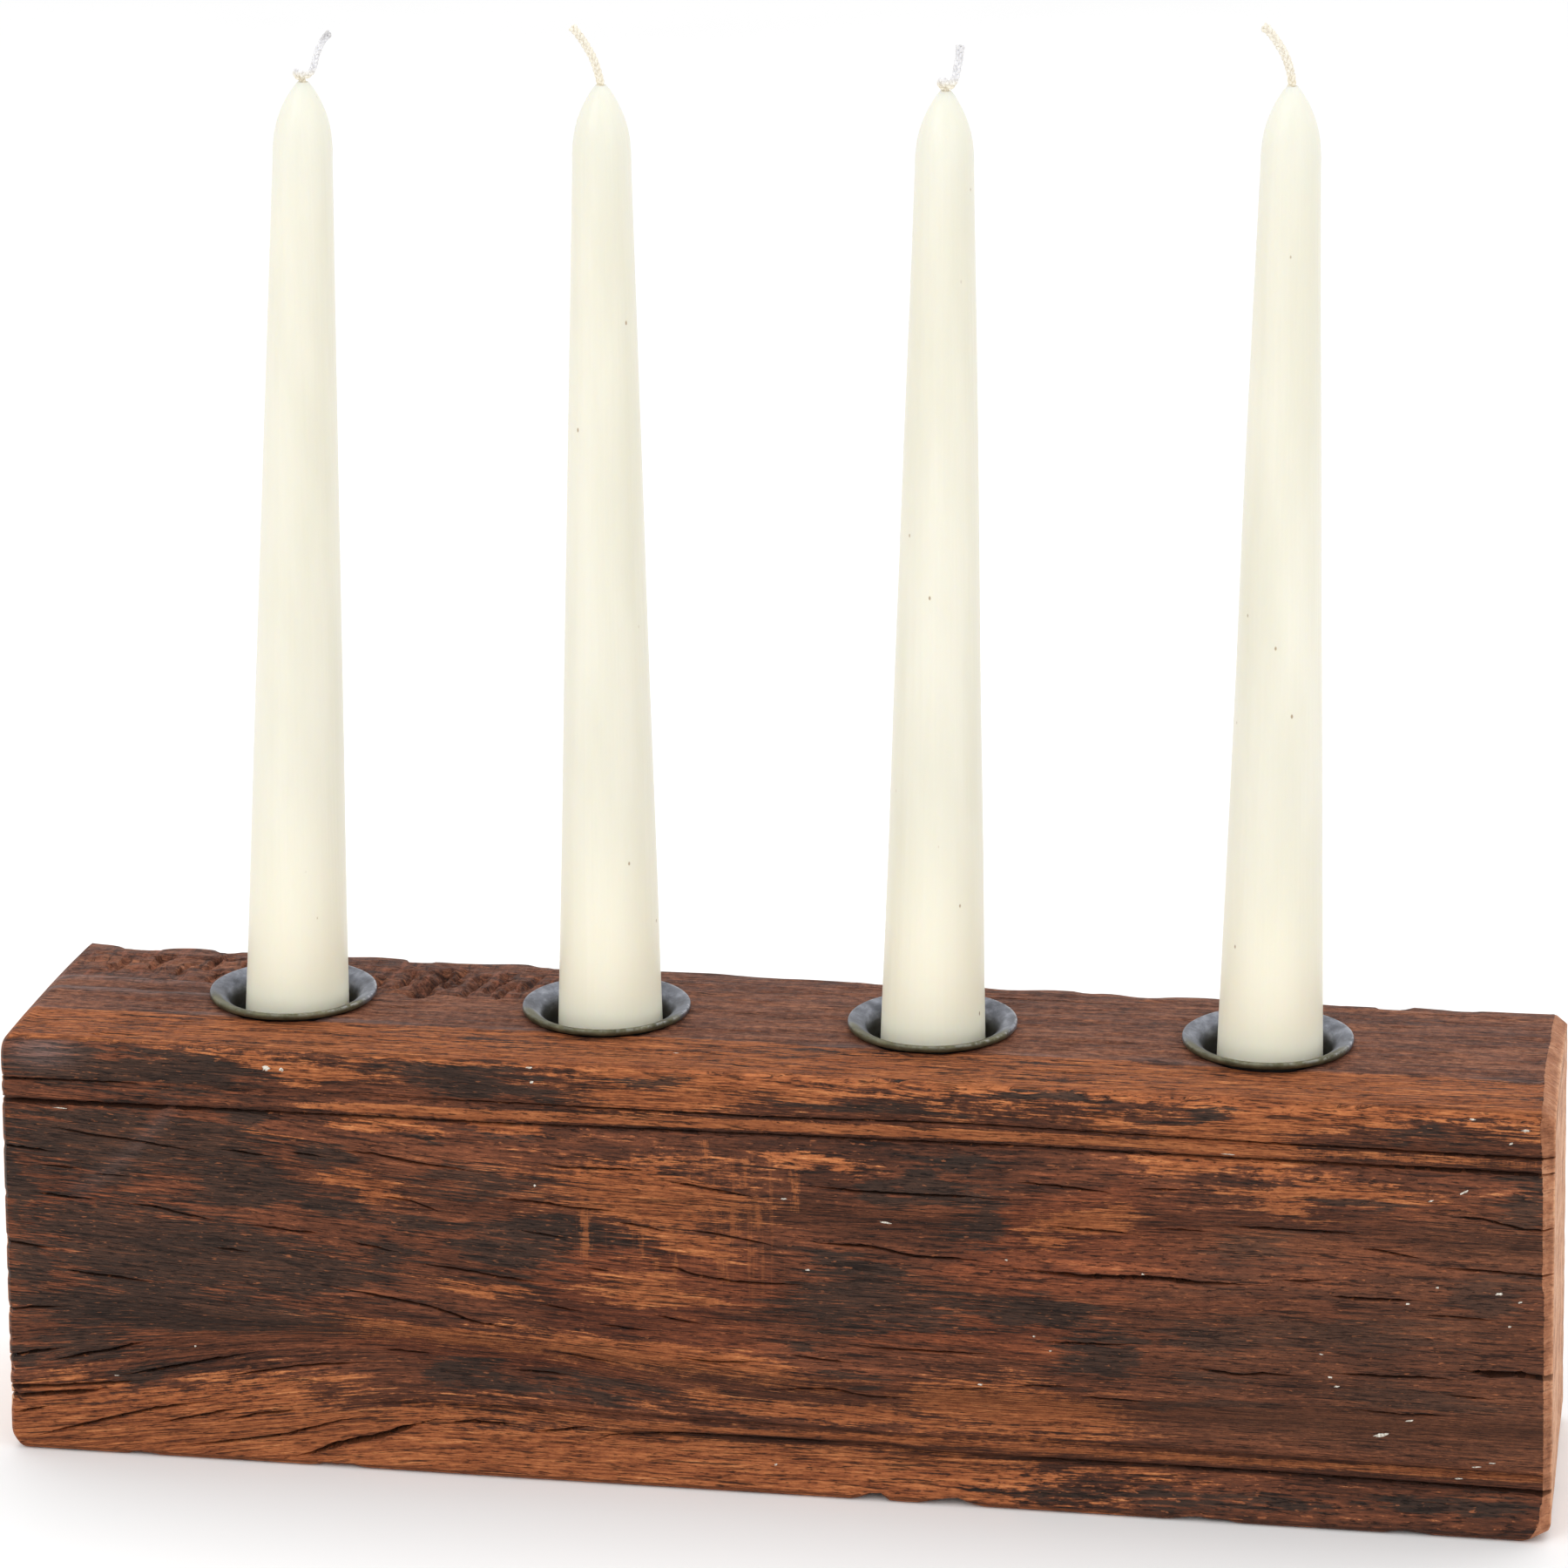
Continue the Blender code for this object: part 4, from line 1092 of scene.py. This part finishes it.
def build_specks(block):
    """Specks of whitewash as thin ragged flakes that lie on the front face."""
    random = np.random.default_rng(107)
    tree = BVHTree.FromObject(block, bpy.context.evaluated_depsgraph_get())
    work, thick, steps = bmesh.new(), 0.10, 11
    for x, z, half_length, half_height, tilt in WHITE_SPECKS:
        place, normal, _, _ = tree.ray_cast(Vector((x, -HALF_DEPTH - 8, z)) * MM, Vector((0, 1, 0)))
        turn = Quaternion(Vector((0, 1, 0)), -math.radians(tilt))
        rings = []
        for share, lift in ((1.0, -0.06), (0.86, thick * 0.7), (0.5, thick)):
            ring = []
            for angle in (2 * math.pi * k / steps for k in range(steps)):
                flat = turn @ Vector((half_length * math.cos(angle), 0, half_height * math.sin(angle)))
                flat = flat - normal * flat.dot(normal)
                ragged = 0.72 + 0.36 * random.uniform(-1, 1)
                ring.append(work.verts.new(place + (flat * share * ragged + normal * lift) * MM))
            rings.append(ring)
        add_tube(work, rings)
    mesh = to_mesh("whitewash_specks", work)
    shade(mesh, 50.0)
    return add_piece("whitewash_specks", mesh, (old_whitewash(),), "holder", [])


def lathe(name, outline, segments, bend):
    """Closed ring of revolution about Z from an outline (radius, z) in mm; bend shifts points by angle."""
    angles = np.linspace(0.0, 2.0 * math.pi, segments, endpoint=False)
    outline = np.array(outline, float)
    radius, z, turn = np.broadcast_arrays(outline[:, :1], outline[:, 1:], angles)
    radius, z = bend(radius, z, turn)
    points = np.stack([radius * np.cos(turn), radius * np.sin(turn), z], 2) * MM
    work = bmesh.new()
    rings = [[work.verts.new(point) for point in ring] for ring in points]
    add_tube(work, rings + rings[:1], capped=False)
    return to_mesh(name, work), radius.ravel(), z.ravel(), turn.ravel()


def cup_outline():
    """Outline (radius, z) of a pressed cup, from the screw hole up the inside, over the lip and down."""
    top, under, floor = RIM_TOP, CUP_UNDERSIDE, CUP_UNDERSIDE + 1.0
    bore, wall, rim = RIM_RADIUS - 4.8, RIM_RADIUS - 3.8, RIM_RADIUS
    inner = [(PILOT_RADIUS, floor), (bore - 4, floor), (bore - 1.4, floor), (bore - .5, floor + .35),
             (bore, floor + 1.3)]
    inner += [(bore, z) for z in np.linspace(floor + 4, top - 5.2, 8)]
    flare = [(bore + .10, top - 4.0), (bore + .35, top - 2.9), (bore + .75, top - 2.0),
             (bore + 1.3, top - 1.3), (bore + 2.0, top - .82), (bore + 2.8, top - .47),
             (bore + 3.5, top - .22), (bore + 3.95, top - .08)]
    lip = [(rim - .52, top - .01), (rim - .30, top), (rim - .12, top - .12), (rim - .02, top - .38),
           (rim, top - .70), (rim - .06, top - 1.10), (rim - .28, top - 1.38), (rim - .6, top - 1.45)]
    outer = [(wall + 2.5, top - 1.55), (wall + 1.7, top - 1.90), (wall + .9, top - 2.6),
             (wall + .35, top - 3.6), (wall, top - 5.2)]
    outer += [(wall, z) for z in np.linspace(top - 10, under + 1.8, 5)]
    outer += [(wall - .5, under + .5), (wall - 1.6, under), (bore - 5, under), (PILOT_RADIUS, under)]
    return inner + flare + lip + outer


def build_cup(n, steel):
    """A flared candle cup with a rolled lip that is slightly out of true."""

    def dented(radius, z, turn):
        flare = ease(z, RIM_TOP - 5.0, RIM_TOP) * ease(radius, RIM_RADIUS - 4.6, RIM_RADIUS - 1.0)
        wave = np.abs(noise(turn * 8 / (2 * math.pi) % 8, 3, 200 + n) * np.sin(turn / 2) ** 2)
        ripple = np.sin(turn * 3 + n) * 0.4 + np.sin(turn * 7 + 2 * n) * 0.2
        return radius - flare * (0.05 + 0.05 * ripple), z - flare * (0.06 + 0.05 * ripple + 0.05 * wave)

    mesh, radius, z, turn = lathe(f"cup_{n}", cup_outline(), 112, dented)
    edge = bell(radius, RIM_RADIUS - 0.25, 0.28) * ease(z, RIM_TOP - 0.8, RIM_TOP - 0.2)
    lip = ease(-np.sin(turn), -0.35, 0.8) * ease(radius, RIM_RADIUS - 4.4, RIM_RADIUS - 1.5)
    # the rim's worn bright edge, with a painted highlight that is stronger on one side
    store(mesh, "rim_wear_and_highlight", edge * (0.55 + 0.45 * np.sin(turn + 0.6)))
    store(mesh, "lip", lip)
    store(mesh, "mouth", ease(z, RIM_TOP - 1.2, RIM_TOP - 4.0))
    mesh.transform(Matrix.Translation(Vector((CUP_X[n], 0, 0)) * MM))
    shade(mesh, 60.0)
    return add_piece(f"cup_{n}", mesh, (steel,), "holder", [f"candle_cup_{n}"])


CANDLE_FOOT_RADIUS = 12.24
CANDLE_TAPER = 0.02725  # loss of radius for each mm of length
CANDLE_TIP_LENGTH = 14.4
CANDLE_TIP_RADIUS = 1.25
TUNNEL_RADIUS = 0.95


def candle_axis(n):
    """Foot, unit axis and length of candle n, in mm, from its joint and its CAD box."""
    joint = next(j for j in frame["joints"] if j["child"] == f"taper_{n}")
    axis = Vector(joint["axis"]).normalized()
    low, high = (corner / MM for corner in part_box(f"candle_{n}"))
    foot = Vector((low.x + CANDLE_FOOT_RADIUS * axis.z, 0, low.z + CANDLE_FOOT_RADIUS * axis.x))
    return foot, axis, (high.z - foot.z - CANDLE_TIP_RADIUS * axis.x) / axis.z


def candle_outline(length):
    """Outline (radius, height) of a dipped taper with a wick tunnel."""
    foot, shoulder = CANDLE_FOOT_RADIUS, length - CANDLE_TIP_LENGTH
    side = [(foot - 0.9, 0.0), (foot - 0.35, 0.12), (foot - 0.08, 0.45)]
    side += [(foot - CANDLE_TAPER * h, h) for h in np.linspace(1.2, shoulder - 2.5, 96)]
    widest = foot - CANDLE_TAPER * shoulder
    tip = [(widest * (1 - 0.8 * share ** 2.15), shoulder + CANDLE_TIP_LENGTH * share)
           for share in np.linspace(0.0, 1.0, 18)[:-1]]
    tip.append((CANDLE_TIP_RADIUS * 0.86, length))
    tunnel = [(TUNNEL_RADIUS, h) for h in np.linspace(length - 0.15, 0.0, 12)]
    return side + tip + tunnel + [(foot * 0.5, 0.0)]


def build_candle(n, wax):
    foot, axis, length = candle_axis(n)
    shoulder = length - CANDLE_TIP_LENGTH

    def dipped(radius, z, turn):
        body = ease(radius, TUNNEL_RADIUS + 0.4, TUNNEL_RADIUS + 2.5)
        wave = np.cos(turn + n) * noise(z / 38.0, n, 301) + np.cos(2 * turn) * noise(z / 55.0, n, 302)
        ring = 0.10 * bell(z, shoulder - 0.5, 1.2)
        return radius + body * (0.09 * wave + ring + 0.03 * np.cos(5 * turn + z / 60)), z

    mesh, _, z, _ = lathe(f"taper_{n}", candle_outline(length), 96, dipped)
    # painted light: the wax is brightened towards its foot against the shade of the cup and the wood, less
    # so below the cup's seat
    store(mesh, "foot", ease(z, 105.0, 36.0) ** 1.5 * (0.35 + 0.65 * ease(z, 24.0, 37.0)))
    store(mesh, "tip", ease(z, shoulder - 20.0, length))
    lean = Vector((0, 0, 1)).rotation_difference(axis).to_matrix().to_4x4()
    mesh.transform(Matrix.Translation(foot * MM) @ lean)
    shade(mesh, 50.0)
    return add_piece(f"taper_wax_{n}", mesh, (wax,), f"taper_{n}", [f"candle_{n}"])


# Free end of each wick: points (x, y, z) from the wax tip, radius, how white it is, how dark its end is.
WICKS = {
    1: ([(0, 0, -2), (-.2, 0, .5), (-1.2, -.3, 1.3), (-1.3, -.5, 2.3), (-.3, -.9, 2.0), (.8, -.6, 1.4),
         (1.9, 0, 2.2), (2.5, .3, 3.8), (3.0, .5, 5.8), (3.9, .6, 7.8), (4.9, .8, 9.3), (5.9, .8, 10.2)],
        0.62, 0.9, 0.45),
    2: ([(0, 0, -2), (-.1, 0, .5), (-.6, .1, 2.6), (-1.7, .4, 5.6), (-3.4, .8, 8.4), (-5.2, 1.3, 10.7),
         (-6.2, 1.5, 11.7)], 0.74, 0.15, 0.0),
    3: ([(0, 0, -2), (-.1, 0, .4), (-.9, -.4, 1.3), (-.6, -.8, 2.3), (.2, -.7, 1.5), (1.2, -.2, 1.3),
         (1.9, .2, 2.7), (2.3, .5, 4.8), (2.7, .7, 7.0), (2.8, .9, 9.2)], 0.74, 0.9, 0.25),
    4: ([(0, 0, -2), (-.1, 0, .5), (-.5, .1, 3.0), (-1.5, .5, 5.8), (-3.2, .9, 8.6), (-5.0, 1.3, 10.8),
         (-6.2, 1.5, 11.8)], 0.78, 0.2, 0.0),
}


def smooth_route(points, step):
    """A smooth curve through the points, sampled about every step."""
    ends = [points[0] * 2 - points[1]] + points + [points[-1] * 2 - points[-2]]
    route = []
    for p0, p1, p2, p3 in zip(ends, ends[1:], ends[2:], ends[3:]):
        pieces = max(2, round((p2 - p1).length / step))
        for t in (k / pieces for k in range(pieces)):
            bends = (2 * p0 - 5 * p1 + 4 * p2 - p3) * t * t + (3 * p1 - p0 - 3 * p2 + p3) * t ** 3
            route.append(0.5 * (2 * p1 + (p2 - p0) * t + bends))
    return route + [points[-1]]


def ahead_of(route, i):
    """Direction of the route at its point i."""
    return (route[min(i + 1, len(route) - 1)] - route[max(i - 1, 0)]).normalized()


def sweep(work, route, radii, sides):
    """Adds a closed tube along the route."""
    rings, across = [], Vector((0, 1, 0))
    for i, (point, radius) in enumerate(zip(route, radii)):
        ahead = ahead_of(route, i)
        across = (across - ahead * across.dot(ahead)).normalized()
        other = ahead.cross(across)
        rings.append([work.verts.new(point + (across * math.cos(a) + other * math.sin(a)) * radius)
                      for a in (2 * math.pi * k / sides for k in range(sides))])
    add_tube(work, rings)


def build_wick(n, cotton):
    """A plain core through the wax and a three-strand braid where the wick stands out."""
    foot, axis, length = candle_axis(n)
    points, radius, bleached, charred = WICKS[n]
    tip, work = foot + axis * length, bmesh.new()
    core = [foot + axis * h for h in np.linspace(0.4, length - 0.5, 40)]
    sweep(work, core, [0.80 + 0.04 * math.sin(1.7 * i) for i in range(len(core))], 10)
    route = smooth_route([tip + Vector(p) for p in points], 0.2)
    travelled = distances(route)
    pitch, total = radius * 4.6, travelled[-1]
    for strand in range(3):
        line, thick = [], []
        for i, (point, way) in enumerate(zip(route, travelled)):
            ahead = ahead_of(route, i)
            side = ahead.cross(Vector((0, 1, 0))).normalized()
            phase = 2 * math.pi * (way / pitch + strand / 3)
            frayed = radius * (1.0 + 0.5 * max(0.0, (way - total + 1.2) / 1.2))
            weave = side * math.sin(phase) * 0.62 + ahead.cross(side) * math.sin(2 * phase) * 0.34
            line.append(point + weave * frayed)
            narrow = 1.0 - 0.25 * math.exp(-way / 2.5)
            thick.append(radius * 0.60 * narrow * min(1.0, 0.45 + (total - way) / 0.8))
        sweep(work, line, thick, 9)
    mesh = to_mesh(f"wick_{n}", work)
    above, end = read(mesh.vertices, "co")[:, 2] - tip.z, points[-1][2]
    store(mesh, "bleached", bleached * ease(above, 0.5, 3.0))
    store(mesh, "charred", charred * ease(above, end - 2.5, end))
    mesh.transform(Matrix.Scale(MM, 4))
    shade(mesh, 60.0)
    return add_piece(f"wick_braid_{n}", mesh, (cotton,), f"taper_{n}", [f"wick_{n}"])


def build_screw(n, steel):
    """A pan head with a cross recess and a threaded shank, in the cup's floor."""
    low, high = (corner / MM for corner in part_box(f"cup_screw_{n}"))
    head, seat, shank, turns = (high.x - low.x) / 2, CUP_UNDERSIDE + 1.3, 1.35, 7
    outline = [(0.02, high.z - 0.9), (0.35, high.z - 0.9), (0.95, high.z - 0.12), (1.5, high.z - 0.03),
               (head - 0.9, high.z - 0.1), (head - 0.35, high.z - 0.45),
               (head - 0.06, seat + 0.35 * (high.z - seat)), (head, seat + 0.2), (head - 0.15, seat),
               (shank, seat), (shank, seat - 1.5)]
    pitch = (seat - 1.5 - low.z) / (turns + 1)
    for k in range(turns):
        z = seat - 1.5 - pitch * (k + 0.5)
        outline += [(shank - 0.3, z + pitch * 0.3), (shank, z), (shank - 0.3, z - pitch * 0.3)]
    outline += [(0.4, low.z + 0.6), (0.02, low.z)]

    def crossed(radius, z, turn):
        arms = np.abs(np.cos(turn)) ** 10 + np.abs(np.sin(turn)) ** 10
        recess = 0.55 * arms * ease(radius, 2.0, 1.2)
        return radius, np.where((z > high.z - 0.6) & (radius < head - 0.5), z - recess, z)

    mesh, *_ = lathe(f"screw_{n}", outline, 48, crossed)
    mesh.transform(Matrix.Translation(Vector(((low.x + high.x) / 2, 0, 0)) * MM))
    shade(mesh, 40.0)
    return add_piece(f"pan_screw_{n}", mesh, (steel,), "holder", [f"cup_screw_{n}"])


# ---------------------------------------------------------------- floor, light and camera

def build_floor():
    work = bmesh.new()
    bmesh.ops.create_circle(work, cap_ends=True, radius=7.0, segments=96)
    mesh = bpy.data.meshes.new("floor")
    work.to_mesh(mesh)
    work.free()
    mesh.materials.append(pale_floor())
    floor = add_object("floor", mesh)


def add_softbox(name, place, aim, width, height, watts):
    lamp = bpy.data.lights.new(name, "AREA")
    lamp.shape = "RECTANGLE"
    lamp.size, lamp.size_y, lamp.energy = width, height, watts
    holder = add_object(name, lamp)
    holder.location = place
    holder.rotation_mode = "QUATERNION"
    holder.rotation_quaternion = (Vector(aim) - Vector(place)).to_track_quat("-Z", "Y")


def build_light():
    world = bpy.data.worlds.new("studio")
    world.use_nodes = True
    background = world.node_tree.nodes["Background"]
    background.inputs["Color"].default_value = (1.0, 1.0, 1.0, 1.0)
    background.inputs["Strength"].default_value = 0.95
    bpy.context.scene.world = world
    middle = (0, 0, 0.12)
    add_softbox("key", (-0.9, -1.5, 1.5), middle, 1.2, 1.2, 9.0)
    add_softbox("fill", (1.3, -1.3, 0.9), middle, 1.0, 1.4, 4.0)
    add_softbox("overhead", (0.1, 0.5, 1.9), middle, 1.8, 1.2, 10.0)
    view = bpy.context.scene.view_settings
    view.view_transform, view.look = "Standard", "None"


CAMERA_AIM = Vector((-0.24, 0.0, 149.51)) * MM
CAMERA_AZIMUTH, CAMERA_ELEVATION, CAMERA_ROLL = 9.809, 17.143, -0.492  # degrees
CAMERA_DISTANCE, CAMERA_LENS, CAMERA_SENSOR = 1.204416, 129.75, 36.0  # metres, mm and mm


def build_camera():
    azimuth, elevation, roll = map(math.radians, (CAMERA_AZIMUTH, CAMERA_ELEVATION, CAMERA_ROLL))
    level = math.cos(elevation)
    back = Vector((math.sin(azimuth) * level, -math.cos(azimuth) * level, math.sin(elevation)))
    right = Vector((0, 0, 1)).cross(back).normalized()
    up = back.cross(right)
    rolled_right = right * math.cos(roll) + up * math.sin(roll)
    rolled_up = up * math.cos(roll) - right * math.sin(roll)
    data = bpy.data.cameras.new("camera")
    data.lens, data.sensor_width = CAMERA_LENS, CAMERA_SENSOR
    camera = add_object("camera", data)
    turn = Matrix((rolled_right, rolled_up, back)).transposed().to_4x4()
    camera.matrix_world = Matrix.Translation(CAMERA_AIM + back * CAMERA_DISTANCE) @ turn
    bpy.context.scene.camera = camera


build_camera()
build_light()
build_floor()
beam = build_block()
build_specks(beam)
cup_steel, taper_wax, braid_cotton, zinc = blackened_steel(), ivory_wax(), wick_cotton(), screw_steel()
for number in CUPS:
    build_cup(number, cup_steel)
    build_screw(number, zinc)
    build_candle(number, taper_wax)
    build_wick(number, braid_cotton)
